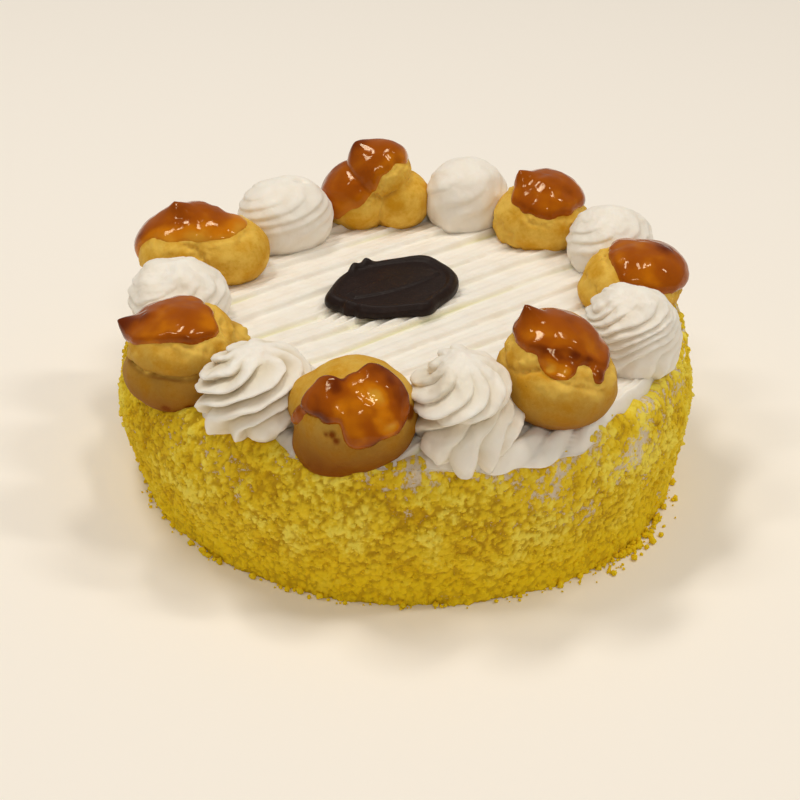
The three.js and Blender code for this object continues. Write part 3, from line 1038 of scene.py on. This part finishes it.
    def shell(self) -> Shell:
        """Shapes the whole top.

        Returns:
            One closed body.
        """
        widest = 0.992 * self.radius
        across = np.linspace(-widest, widest, self.across)
        s, t = pairs(across, np.linspace(-1.0, 1.0, self.along))
        u = t * np.sqrt(self.radius**2 - s**2)
        spot = turned(flat(s, u), self.bearing - math.pi / 2.0)
        x, y, _ = spot.T
        height, groove = self.level(x, y)
        reach, bearing = polar(x, y)
        torn = 1.3 * self.noise(spot + 15.0, 7.0, 2) * ease(reach, 101.0, 107.0)
        end = self.rope_end(bearing)
        shells = self.roped(bearing) * (1.0 - end) * (2.8 + 2.8 * self.pleats(reach, bearing))
        torn += (shells - 2.2 * end) * ease(reach, 98.0, 106.0)
        top = spot * (1.0 + torn / self.radius)[:, None] + height[:, None] * [0.0, 0.0, 1.0]
        number = np.arange(len(top)).reshape(self.across, self.along)
        border = [number[:, 0], number[-1, 1:], number[-2::-1, -1], number[0, -2:0:-1]]
        border = np.concatenate(border)
        under = top[border] * [0.985, 0.985, 0.0] - [0.0, 0.0, SUNK]
        count, length = len(top), len(border)
        lower = np.arange(count, count + length)
        after, below = np.roll(border, -1), np.roll(lower, -1)
        faces = [grid_faces(self.across, self.along, False), fan(lower, count + length, False)]
        faces += [np.stack([border, lower, below], -1), np.stack([border, below, after], -1)]
        points = np.concatenate([top, under, [[0.0, 0.0, -3.0]]])
        marks = {"groove": np.append(groove, np.zeros(length + 1))}
        return Shell(DECK.to_world(points), np.concatenate(faces), marks)

    def dress(self) -> None:
        """Makes the cream top."""
        self.shell().piece("cream_strips", "cream", ["cream_top"], CreamFinish("top cream").material())


class Crown(Enum):
    """How the nozzle left the top of a rosette."""

    SOFT = "soft"
    DIMPLE = "dimple"
    NUB = "nub"
    WAVY = "wavy"


@dataclass(frozen=True)
class Flutes:
    """Ridges that wind down a rosette side by side.

    The depth is a share of the radius, the twist is in degrees from crown to foot, the start is a
    share of a turn, and a higher softness gives rounder furrows.
    """

    count: int
    depth: float
    twist: float
    softness: float
    start: float = -1.0 / 3.0

    def height(self, angle: Array, sweep: Array) -> Array:
        """Height of the ridges.

        Args:
            angle: Angles round the rosette.
            sweep: How far down the twist each place is, as a share.

        Returns:
            Heights from 0 in a furrow to 1 on a crest.
        """
        unwound = angle + math.radians(self.twist) * sweep
        share = np.mod(self.count * unwound / (2.0 * math.pi) + self.start, 1.0)
        return np.sin(math.pi * share**1.6) ** self.softness


@dataclass
class Rosette:
    """One twist of cream from a star nozzle."""

    node: str
    bearing: float
    reach: float
    width: float
    length: float
    height: float
    droop: float
    crown: Crown
    flutes: Sequence[Flutes]
    seed: int
    fullness: float = 2.4
    wander: float = 0.22
    columns: int = 176
    rings: int = 60
    standing: float = 0.34
    rough: float = 0.2
    lumpy: float = 0.9
    foot: float = 5.5
    foot_share: float = 0.86

    def top(self, radius: Array, angle: Array) -> Array:
        """What the nozzle left at the top, as a share of the height.

        Args:
            radius: Distance from the rosette's axis, as a share of its width.
            angle: Angle round it.

        Returns:
            Rise or fall of the top.
        """
        if self.crown is Crown.DIMPLE:
            across = np.hypot(radius * np.cos(angle) + 0.05, radius * np.sin(angle) + 0.17)
            return 0.02 - 0.13 * bell(across, 0.06)
        if self.crown is Crown.NUB:
            return 0.05 * bell(radius, 0.12)
        if self.crown is Crown.WAVY:
            return 0.06 * np.cos(3.0 * angle + 0.6) * bell(radius - 0.22, 0.12)
        return 0.02 * bell(radius, 0.1)

    def shell(self) -> Shell:
        """Shapes the twist of cream.

        Returns:
            One closed body.
        """
        noise = Noise(self.seed)
        steep = np.linspace(0.0, 0.5 * math.pi * 0.985, self.rings)
        climb, angle = pairs(steep, circle(self.columns))
        rise = np.sin(climb) ** (2.0 / self.fullness)
        fall = 1.0 - rise
        radius = 0.5 * np.cos(climb) * (1.0 - 0.12 * fall**4)
        places = np.stack([radius * np.cos(angle), radius * np.sin(angle), 0.7 * rise], -1) * 40.0
        wander = self.wander * noise(places, 13.0, 2)
        sweep = 0.4 * fall + 0.6 * ease(fall, 0.1, 0.85)
        swell, crest = np.zeros_like(radius), np.ones_like(radius)
        for flutes in self.flutes:
            ridge = flutes.height(angle + wander, sweep)
            uneven = 1.0 + 0.5 * noise.smooth(places + 9.0 * flutes.count, 12.0)
            swell += flutes.depth * (ridge - 0.6) * uneven * ease(radius, 0.12, 0.36)
            crest = np.minimum(crest, ridge)
        swollen = radius * (1.0 + swell)
        x, y = swollen * np.cos(angle), swollen * np.sin(angle)
        hanging = ease(x, self.standing, 0.5) * fall**6
        z = self.height * (rise + self.top(radius, angle))
        z -= self.droop * hanging * (0.45 + 0.55 * crest**0.5)
        points = np.stack([self.length * x, self.width * y, z], -1)
        outward = points - np.array([0.0, 0.0, 0.3 * self.height])
        outward /= np.linalg.norm(outward, axis=1, keepdims=True)
        lumps = self.lumpy * noise(points, 9.0, 2) + self.rough * noise(points + 40.0, 2.4)
        points += outward * lumps[:, None]
        # Painted shade in the furrows, stronger on deeply fluted rosettes.
        furrow_shade = min(0.7, 2.2 * self.flutes[0].depth) * ease(radius, 0.1, 0.34)
        return self.closed(points, (1.0 - crest) * furrow_shade)

    def closed(self, points: Array, furrow: Array) -> Shell:
        """Adds the tip and a foot that stands in the strips below.

        Args:
            points: Rings of points from the foot up.
            furrow: Share of the furrow colour in the furrows, a painted shade.

        Returns:
            The closed body on the cake.
        """
        narrowed = [self.foot_share, self.foot_share, 0.0]
        sunk = points[: self.columns] * narrowed - [0.0, 0.0, SUNK]
        ends = [[0.0, 0.0, -SUNK], points[-self.columns :].mean(axis=0)]
        marks = {"groove": np.append(np.zeros(self.columns), furrow)}
        body = Shell.stacked(np.concatenate([sunk, points]), self.columns, ends, marks)
        placed = body.points + [self.reach, 0.0, self.foot]
        body.points = DECK.to_world(turned(placed, math.radians(self.bearing)))
        return body

    def dress(self, finish: Material) -> None:
        """Makes the rosette with the cream that all of them share."""
        self.shell().piece(self.node.replace("rosette", "swirl"), "cream", [self.node], finish)


@dataclass
class Puff:
    """A cream puff of softly joined lobes with its top dipped in caramel.

    The caramel's edge is given as angles from the dipped axis, at every 30 degrees round it from
    -180, where 0 is to the right and 90 to the back. Pools add to it, films are thin, dark spots are
    thick, and brown spots and tears are on the crust: round patches, each with its angle round the
    axis, its angle from it and its own half-width. Over a fold the skin tore open: it runs from one
    angle round the axis and angle from it to another. Shapes are worked out for a fixed set of
    directions, along which the skin is at some distance from the puff's middle.
    """

    node: str
    bearing: float
    reach: float
    lift: float
    squash: float
    base: float
    lobes: Rows
    axis: Row
    edge: Row
    peak: Row
    peak_height: float
    peak_degrees: float
    seed: int
    pools: Rows = ()
    films: Rows = ()
    dark: Rows = ()
    # Darker brown patches on the crust.
    brown_spots: Rows = ()
    tears: Rows = ()
    fold: Row = ()
    brown: float = 0.0
    richness: float = 0.5
    ragged: float = 1.0
    # How much painted shade darkens the creases between lobes.
    crease_shade: float = 0.25
    crag: float = 0.8
    dent: float = 0.0
    marbled: float = 0.5
    faded: float = 0.0
    sharpness: float = 1.3
    seam: float = 0.9
    thickness: float = 1.9
    mean_radius: float = 20.0
    level: int = 5

    def __post_init__(self) -> None:
        """Sets the puff's own unevenness, its directions, its dipped axes and its middle."""
        self.noise = Noise(self.seed)
        self.along, self.faces = ball(self.level)
        self.places = self.along * self.mean_radius
        axis = unit(self.axis)
        side = unit(np.array([1.0, 0.0, 0.0]) - axis[0] * axis)
        self.axes = (axis, side, np.cross(axis, side))
        turn = math.radians(self.bearing)
        self.middle = [self.reach * math.cos(turn), self.reach * math.sin(turn), self.lift]

    def away(self, direction: Array) -> Array:
        """Angles between the puff's directions and another one."""
        return np.arccos(np.clip(self.along @ direction, -1.0, 1.0))

    def angles(self) -> tuple[Array, Array]:
        """Degrees round the dipped axis and degrees from it."""
        axis, side, back = self.axes
        return np.degrees(np.arctan2(self.along @ back, self.along @ side)), np.degrees(self.away(axis))

    def lobe_reach(self) -> Array:
        """How far each lobe's skin is along every direction.

        Returns:
            Distances, one row a lobe.
        """
        squashed = self.along / np.array([1.0, 1.0, self.squash])
        square = (squashed**2).sum(axis=-1)
        rows = []
        for x, y, z, radius in self.lobes:
            middle = np.array([x, y, z / self.squash])
            forward = squashed @ middle
            under = forward**2 - square * (middle @ middle - radius * radius)
            met = (forward + np.sqrt(np.maximum(under, 0.0))) / square
            rows.append(np.where(under < 0.0, UNMET, met))
        return np.stack(rows)

    def crust(self) -> tuple[Array, Marks]:
        """Works out the skin of the baked puff.

        Returns:
            How far inside the caramel each place is, and the baked and torn shares. The baked share
            also holds painted shade low down and in the creases between lobes.
        """
        noise, places, upright = self.noise, self.places, self.along[:, 2]
        rows = self.lobe_reach()
        shifts = [noise(places + 13.0 * row, 8.0) for row in range(len(rows))]
        rows = rows + 0.7 * np.stack(shifts)
        self.skin = np.log(np.exp(self.sharpness * rows).sum(axis=0)) / self.sharpness
        self.skin += 0.5 * noise(places + 20.0, 11.0, 2)
        inside = self.cover()
        ordered = np.sort(rows, axis=0)
        joint = bell(ordered[-1] - ordered[-2], 1.1)
        split = joint * ease(noise(places, 7.0, 2), -0.5, 0.4)
        open_skin = ease(noise(places + 5.0, 6.0, 2), -0.5, 0.3)
        crag = min(1.0, self.crag) * bell(inside + 2.4, 2.2 * self.crag) * open_skin
        self.skin -= self.dent * joint
        torn = np.maximum(split * min(1.0, self.seam), crag)
        torn = np.maximum(torn, self.spots(self.tears, 2.5))
        if self.fold:
            below, within = self.folded()
            gap = within * bell(below + 2.2, 1.7)
            torn = np.maximum(torn, gap * (0.5 + 0.5 * open_skin))
            self.skin -= 0.8 * gap + within * bell(below + 0.4, 0.8)
        rough = (0.16 + 2.6 * torn) * noise(places + 60.0, 2.6)
        rough -= self.seam * joint * ease(split, 0.0, 0.8)
        self.skin += rough * ease(-inside, -1.0, 1.0)
        floor = np.where(upright < -0.05, self.base / np.maximum(-upright, 0.05), np.inf)
        # Browner towards the bottom and underneath: partly the crust's own browning, partly painted
        # shade.
        low = 1.0 - ease(upright, -0.4, 0.7)
        baked = self.brown * (0.5 + 0.55 * low) + 0.2 * ease(-upright, 0.2, 0.8)
        # Darker brown spots, and painted shade in the creases between lobes, lower down.
        baked += 0.8 * self.spots(self.brown_spots, 1.8) + self.crease_shade * joint * low
        self.skin = np.minimum(self.skin, floor)
        return inside, {"baked": baked, "torn": torn}

    def folded(self) -> tuple[Array, Array]:
        """How far below the fold each place is.

        Returns:
            Distances in millimetres along the skin, and shares within the fold's length.
        """
        start, high, end, low = self.fold
        turn, tip = self.angles()
        below = np.radians(tip - np.interp(turn, [start, end], [high, low])) * self.skin
        return below, ease(turn, start - 9.0, start + 9.0) * ease(-turn, -end - 9.0, -end + 9.0)

    def patch(self, spot: Row) -> Array:
        """How far inside a round patch each place is, in millimetres along the skin.

        Args:
            spot: The patch's angle round the axis, angle from it and half-width.

        Returns:
            Distances, below 0 outside.
        """
        axis, side, back = self.axes
        turn, tip, half = (math.radians(v) for v in spot)
        middle = math.cos(tip) * axis
        middle = middle + math.sin(tip) * (math.cos(turn) * side + math.sin(turn) * back)
        return (half - self.away(middle)) * self.skin

    def spots(self, spots: Rows, blur: float) -> Array:
        """Shares of a group of uneven patches.

        Args:
            spots: The patches.
            blur: How far each fades out, in millimetres.

        Returns:
            Shares from 0 outside to 1 inside.
        """
        total = np.zeros(len(self.skin))
        uneven = 1.2 * blur * self.noise(self.places + 83.0, 5.0)
        for spot in spots:
            total = np.maximum(total, ease(self.patch(spot) + uneven, -blur, blur))
        return total

    def cover(self) -> Array:
        """How far inside the caramel's edge each place is.

        Returns:
            Distances in millimetres along the skin, below 0 outside.
        """
        turn, tip = self.angles()
        ragged = self.ragged * self.noise(self.places + 11.0, 6.0)
        inside = np.radians(around(self.edge, turn) - tip) * self.skin + ragged
        for spot in self.pools:
            both = np.stack([inside, self.patch(spot)]).clip(-40.0, 20.0)
            inside = np.log(np.exp(0.7 * both).sum(axis=0)) / 0.7
        return inside

    def glaze(self, inside: Array) -> tuple[Array, Array]:
        """The caramel.

        Args:
            inside: How far inside the caramel's edge each place is.

        Returns:
            Thicknesses, below 0 where there is none, and how deep the colour is.
        """
        noise, places = self.noise, self.places
        film, dark = self.spots(self.films, 4.0), self.spots(self.dark, 4.0)
        ripple = 0.35 * noise(places + 31.0, 11.0, 1) + 0.06 * noise(places + 71.0, 5.0, 1)
        swell = self.thickness * (1.0 + ripple - 0.6 * film + 0.25 * dark)
        rounding = np.clip(inside / (3.4 + 5.0 * self.faded), 0.0, 1.0)
        bead = (1.0 - (1.0 - rounding) ** 2) ** 0.85
        thick = np.where(inside > 0.0, swell * bead, np.maximum(0.6 * inside, -2.0) - 0.15)
        spread = np.degrees(self.away(unit(self.peak))) / self.peak_degrees
        horn = bell(spread, 1.0)
        thick = thick + self.peak_height * (0.6 * horn + 0.4 * np.exp(-2.5 * spread))
        pooled = 0.7 * noise(places + 47.0, 10.0, 2) + 0.3 * noise(places, 4.0, 2)
        rim = bell(inside - 1.8, 1.1) * (1.0 - film) * (1.0 - self.faded)
        depth = self.richness + pooled * self.marbled + 0.25 * rim
        depth -= 0.7 * self.faded * (1.0 - ease(inside, 0.0, 9.0))
        return thick, depth + 0.4 * horn - film + 0.4 * dark

    def placed(self, reach: Array) -> Array:
        """Places at these distances from the puff's middle, where it sits on the cake."""
        return DECK.to_world(self.along * reach[:, None] + np.array(self.middle))

    def dress(self, crust: Material, caramel: Material) -> None:
        """Makes the baked puff and its caramel.

        Args:
            crust: Material of the baked puff.
            caramel: Material of the caramel.
        """
        inside, marks = self.crust()
        baked = Shell(self.placed(self.skin), self.faces, marks)
        baked.piece(self.node.replace("puff", "choux"), "choux", [self.node], crust)
        thick, depth = self.glaze(inside)
        shown = self.faces[(thick[self.faces] > -0.5).any(axis=1)]
        used, numbers = np.unique(shown, return_inverse=True)
        points = self.placed(self.skin + thick)[used]
        glazed = Shell(points, numbers.reshape(-1, 3), {"depth": depth[used]})
        glazed.piece(self.node.replace("puff", "caramel"), "caramel", [self.node], caramel)


@dataclass
class Plaque:
    """Moulded chocolate oval with a rounded rim, bosses on its edge and a plain raised band.

    Each boss has its angle round the oval, its swell as a share of it, its spread in degrees and
    how far it stands up.
    """

    x: float = -7.1
    y: float = 15.1
    foot: float = 5.5
    turn: float = math.radians(34.0)
    half_length: float = 26.8
    half_width: float = 20.8
    slab: float = 3.6
    rim: float = 1.1
    rim_share: float = 0.9
    rim_spread: float = 0.065
    band_length: float = 40.0
    band_width: float = 11.0
    band_height: float = 0.9
    bosses: Rows = (
        (36.0, 0.11, 17.0, 0.5), (91.0, 0.065, 5.5, 2.2), (104.0, 0.07, 6.0, 1.8),
        (168.0, 0.1, 15.0, 0.4), (197.0, 0.05, 5.0, 0.9), (212.0, 0.04, 5.0, 0.7),
        (270.0, 0.15, 12.0, 0.5),
    )
    columns: int = 220
    rings: int = 46

    def swell(self, degrees: Array) -> tuple[Array, Array]:
        """Outline and relief of the bosses.

        Args:
            degrees: Angles round the oval.

        Returns:
            How far the outline swells, as a share, and how far the bosses stand up.
        """
        swell, rise = np.zeros_like(degrees), np.zeros_like(degrees)
        for at, out, spread, up in self.bosses:
            boss = bell(np.mod(degrees - at + 180.0, 360.0) - 180.0, spread)
            swell += out * boss
            rise += up * boss
        return swell, rise

    def face(self, share: Array, x: Array, y: Array, rise: Array) -> Array:
        """Height of the moulded face.

        Args:
            share: Share of the way out from the middle.
            x: Places along the plaque.
            y: Places across it.
            rise: How far the bosses stand up there.

        Returns:
            Heights above its foot.
        """
        height = self.slab + self.rim * np.exp(-(((share - self.rim_share) / self.rim_spread) ** 4))
        half = 0.5 * self.band_width * (1.0 - 0.55 * (2.0 * x / self.band_length) ** 2)
        inside = np.minimum(half - np.abs(y), 0.5 * self.band_length - np.abs(x))
        height += self.band_height * ease(inside, -0.4, 0.9) * ease(share, 0.93, 0.8)
        height += rise * bell(share - 0.92, 0.1)
        return height - 0.8 * ease(share, 0.955, 1.0) ** 2

    def shell(self) -> Shell:
        """Shapes the plaque.

        Returns:
            One closed body.
        """
        inward = np.append(1.0 - np.linspace(0.0, 1.0, self.rings - 3)[:-1] ** 1.15, 0.02)
        share, degrees = pairs(inward, np.linspace(-180.0, 180.0, self.columns, endpoint=False))
        angle = np.radians(degrees)
        swell, rise = self.swell(degrees)
        x = share * (1.0 + swell) * self.half_length * np.cos(angle)
        y = share * (1.0 + swell) * self.half_width * np.sin(angle)
        top = np.stack([x, y, self.face(share, x, y, rise)], -1)
        edge = top[: self.columns]
        side = [edge * [1.0, 1.0, 0.0], edge * [1.012, 1.012, 0.35], edge * [1.008, 1.008, 0.75]]
        none = np.zeros(1)
        ends = [[0.0, 0.0, 0.0], [0.0, 0.0, self.face(none, none, none, none)[0]]]
        body = Shell.stacked(np.concatenate([*side, top]), self.columns, ends, {})
        body.points = DECK.to_world(turned(body.points, self.turn) + [self.x, self.y, self.foot])
        return body

    def dress(self) -> None:
        """Makes the plaque."""
        finish = ChocolateFinish("dark chocolate").material()
        self.shell().piece("moulded_plaque", "chocolate", ["chocolate_plaque"], finish)


@dataclass
class Lamp:
    """A soft rectangular light."""

    name: str
    place: Triple
    size: Pair
    power: float
    colour: Triple = (1.0, 0.95, 0.86)

    def hang(self) -> None:
        """Puts the light in its place, aimed at the cake."""
        light = bpy.data.lights.new(self.name, "AREA")
        light.shape = "RECTANGLE"
        light.size, light.size_y = self.size
        light.energy = self.power
        light.color = self.colour
        made = bpy.data.objects.new(self.name, light)
        made.location = self.place
        aim = Vector((0.0, 0.0, 0.05)) - Vector(self.place)
        made.rotation_euler = aim.to_track_quat("-Z", "Y").to_euler()
        bpy.context.scene.collection.objects.link(made)


@dataclass
class Studio:
    """Pale floor, soft lights and the camera."""

    target: Triple = (-0.004, -0.0086, 0.030)
    distance: float = 0.7859
    elevation: float = math.radians(29.93)
    roll: float = math.radians(1.5)
    lens: float = 90.0
    sensor: float = 36.0
    floor_half: float = 3.0
    floor_steps: int = 12
    floor_drop: float = 0.00005
    world_colour: Colour = (1.0, 0.94, 0.86, 1.0)
    world_strength: float = 0.28
    lamps: Sequence[Lamp] = (
        Lamp("top_right", (0.55, 0.15, 2.3), (0.5, 0.2), 7.9),
        Lamp("top_left", (-0.5, 0.35, 1.7), (0.5, 0.2), 8.3),
        Lamp("right", (1.3, -0.1, 1.9), (0.16, 0.45), 7.6),
        Lamp("left", (-1.2, -0.3, 1.9), (0.16, 0.45), 5.0),
        Lamp("front", (0.2, -1.6, 1.4), (0.45, 0.16), 5.4),
    )

    def floor(self) -> None:
        """Lays a wide sheet whose far edge is out of sight."""
        steps = self.floor_steps
        line = np.linspace(-self.floor_half, self.floor_half, steps)
        y, x = pairs(line, line)
        points = flat(x, y) - [0.0, 0.0, self.floor_drop]
        mesh = bpy.data.meshes.new("floor")
        mesh.from_pydata(points.tolist(), [], grid_faces(steps, steps, False).tolist())
        mesh.materials.append(FloorFinish("pale floor").material())
        made = bpy.data.objects.new("floor", mesh)
        bpy.context.scene.collection.objects.link(made)

    def camera(self) -> None:
        """Sets the camera where the picture was taken from."""
        back = Vector((0.0, -math.cos(self.elevation), math.sin(self.elevation)))
        right = Vector((1.0, 0.0, 0.0))
        up = back.cross(right)
        c, s = math.cos(self.roll), math.sin(self.roll)
        tilted_right, tilted_up = c * right + s * up, c * up - s * right
        data = bpy.data.cameras.new("camera")
        data.lens, data.sensor_width = self.lens, self.sensor
        data.clip_start, data.clip_end = 0.01, 50.0
        made = bpy.data.objects.new("camera", data)
        turn = Matrix((tilted_right, tilted_up, back)).transposed().to_4x4()
        made.matrix_world = Matrix.Translation(Vector(self.target) + back * self.distance) @ turn
        bpy.context.scene.collection.objects.link(made)
        bpy.context.scene.camera = made

    def world(self) -> None:
        """Fills the room with a soft even light."""
        world = bpy.data.worlds.new("room")
        world.use_nodes = True
        shade = world.node_tree.nodes["Background"]
        shade.inputs["Color"].default_value = self.world_colour
        shade.inputs["Strength"].default_value = self.world_strength
        bpy.context.scene.world = world
        bpy.context.scene.view_settings.view_transform = "Standard"

    def dress(self) -> None:
        """Builds the studio."""
        self.floor()
        self.camera()
        self.world()
        for lamp in self.lamps:
            lamp.hang()


PUFFS = (
    Puff(
        "puff_front", -102, 95, 13, 0.92, 17.5,
        [[1, 0, 0, 21.5], [-12, 3, 3, 11], [-7, -3, -9, 14]],
        [0.05, -0.72, 0.7], [58, 40, 30, 44, 46, 54, 58, 57, 52, 32, 24, 48],
        [-0.35, -0.45, 0.82], 1.2, 16, 101,
        pools=[(-173, 62, 6), (-171, 70, 5), (-170, 79, 4), (-84, 38, 8)],
        films=[(-34, 42, 6), (-22, 33, 6), (-4, 27, 6), (12, 20, 5)],
        dark=[(-168, 25, 13), (-88, 38, 7), (75, 36, 7)],
        brown_spots=[(-6, 60, 7), (-122, 40, 3), (-130, 43, 2.5), (-114, 43, 2)], brown=0.66, richness=0.6,
        ragged=1.6, sharpness=1.1, seam=0.0, crease_shade=0.0, crag=0.05, marbled=1.0,
    ),
    Puff(
        "puff_front_right", -57, 94, 22, 0.82, 16.5,
        [[1, 0, -3, 20.5], [-2, 3, 5.5, 17], [-10, 4, 0, 11.5]],
        [0.12, 0.1, 0.95], [57, 58, 52, 48, 58, 68, 63, 58, 55, 52, 52, 55],
        [-0.42, 0.1, 0.9], 6.5, 11, 102,
        pools=[(-112, 58, 10), (-100, 62, 12), (-88, 62, 12), (-45, 68, 6), (-47, 75, 4)],
        films=[(-106, 67, 7), (-90, 68, 7)],
        dark=[(-122, 48, 7), (-100, 47, 7), (-78, 46, 7), (-55, 52, 7)],
        fold=(-130, 71, -38, 89), brown=0.5, crag=1.6, sharpness=2.2, seam=1.4,
    ),
    Puff(
        "puff_right", 9, 88, 12, 0.72, 11.5,
        [[-1, 0, -1, 19.5], [4, 0, 2, 15.5], [-9, -3, -3, 13]],
        [0.42, -0.1, 0.9], [68, 68, 76, 69, 67, 63, 66, 70, 72, 75, 75, 73],
        [0.6, 0, 0.8], 1, 16, 103, brown=0.15, faded=0.3,
    ),
    Puff(
        "puff_back_right", 54, 90, 14.5, 0.76, 14,
        [[0, 0, -3, 19.5], [2, 1, 3, 15.5], [-7, -3, -5, 13]],
        [0.25, 0, 0.95], [64, 78, 78, 75, 69, 61, 64, 66, 62, 60, 58, 58],
        [-0.45, 0, 0.88], 4.5, 14, 104, brown=0.1, faded=0.2,
    ),
    Puff(
        "puff_back", 99.5, 90, 16.5, 0.95, 16,
        [[-8, 0, -3, 15.5], [8, 0, -4, 14.2], [1, 0, 8, 13.2]],
        [-0.25, -0.15, 0.9], [98, 96, 80, 58, 43, 42, 56, 64, 66, 66, 70, 86],
        [-0.4, -0.03, 0.9], 3.4, 15, 105, brown=-0.1, richness=0.6, sharpness=1.5, dent=0.6, faded=0.7,
    ),
    Puff(
        "puff_back_left", 157, 93, 15, 0.8, 14.5,
        [[-7, 0, -2, 18], [11, 0, -2, 17], [-2, 2, 1, 17]],
        [-0.15, -0.05, 1], [96, 60, 56, 54, 61, 68, 72, 68, 64, 64, 76, 92],
        [-0.44, 0.02, 0.9], 4.2, 17, 106, brown=0.05, faded=1.0,
    ),
    Puff(
        "puff_left", -149, 97, 13.5, 0.66, 16.5,
        [[-1, 0, -7, 21], [0, 0, 4.5, 20], [12, 4, 2, 11.8]],
        [-0.12, -0.05, 1], [67, 60, 51, 50, 56, 59, 45, 38, 45, 52, 55, 58],
        [-0.88, 0.03, 0.48], 4.5, 10, 107, tears=[(0, 74, 9), (14, 80, 10), (10, 88, 8)],
        dark=[(178, 52, 12), (-165, 30, 5)], brown_spots=[(-96, 128, 3), (-84, 122, 2), (-108, 120, 2)],
        brown=0.58, richness=0.38, sharpness=2.0, seam=1.6, crease_shade=0.9, crag=1.5,
    ),
)

ROSETTES = (
    Rosette(
        "rosette_front_left", -125, 95, 38, 42, 25, 3, Crown.SOFT, [Flutes(8, 0.32, 160, 0.85)],
        201, fullness=3.0, wander=0.46, rough=0.5, lumpy=1.6,
    ),
    Rosette(
        "rosette_front", -79, 92, 36, 46, 29, 5.5, Crown.SOFT,
        [Flutes(10, 0.2, 125, 0.7), Flutes(1, 0.26, 520, 0.9, 0.17)], 202, fullness=2.8, wander=0.42,
        rough=0.5, lumpy=1.6,
    ),
    Rosette(
        "rosette_right", -24, 88, 38, 39, 27.5, 0, Crown.NUB, [Flutes(11, 0.1, 200, 0.9)], 203,
        fullness=2.9, wander=0.65, rough=0.5, lumpy=1.5,
    ),
    Rosette(
        "rosette_back_right", 30, 92, 36, 37, 22.5, 0, Crown.SOFT, [Flutes(7, 0.045, 160, 1.1)], 204,
        fullness=2.8, wander=0.5, rough=0.35, lumpy=1.3,
    ),
    Rosette(
        "rosette_back", 76, 91, 36, 38, 25, 0, Crown.SOFT, [Flutes(6, 0.03, 140, 1.2)], 205,
        fullness=3.2, wander=0.4, lumpy=1.1,
    ),
    Rosette(
        "rosette_back_left", 128, 87, 43, 40, 24, 0, Crown.DIMPLE, [Flutes(7, 0.038, 230, 1.1)], 206,
        fullness=2.7, wander=0.35,
    ),
    Rosette(
        "rosette_left", -177, 90, 42, 40, 21.5, 0, Crown.WAVY, [Flutes(8, 0.06, 150, 1.1)], 207,
        fullness=3.0, wander=0.5, rough=0.4, lumpy=1.4,
    ),
)


def main() -> None:
    """Builds the cake piece by piece and the studio round it."""
    logging.basicConfig(level=logging.INFO, format="%(message)s")
    top = CreamTop()
    CrumbCake().dress(top)
    top.dress()
    crust = ChouxFinish("choux crust").material()
    caramel = CaramelFinish("caramel").material()
    for puff in PUFFS:
        puff.dress(crust, caramel)
    # The rosettes' darker, warmer furrow colour is painted shade.
    cream = CreamFinish("piped cream", furrow=tint(206, 188, 146)).material()
    for rosette in ROSETTES:
        rosette.dress(cream)
    Plaque().dress()
    Studio().dress()


if __name__ == "__main__":
    main()
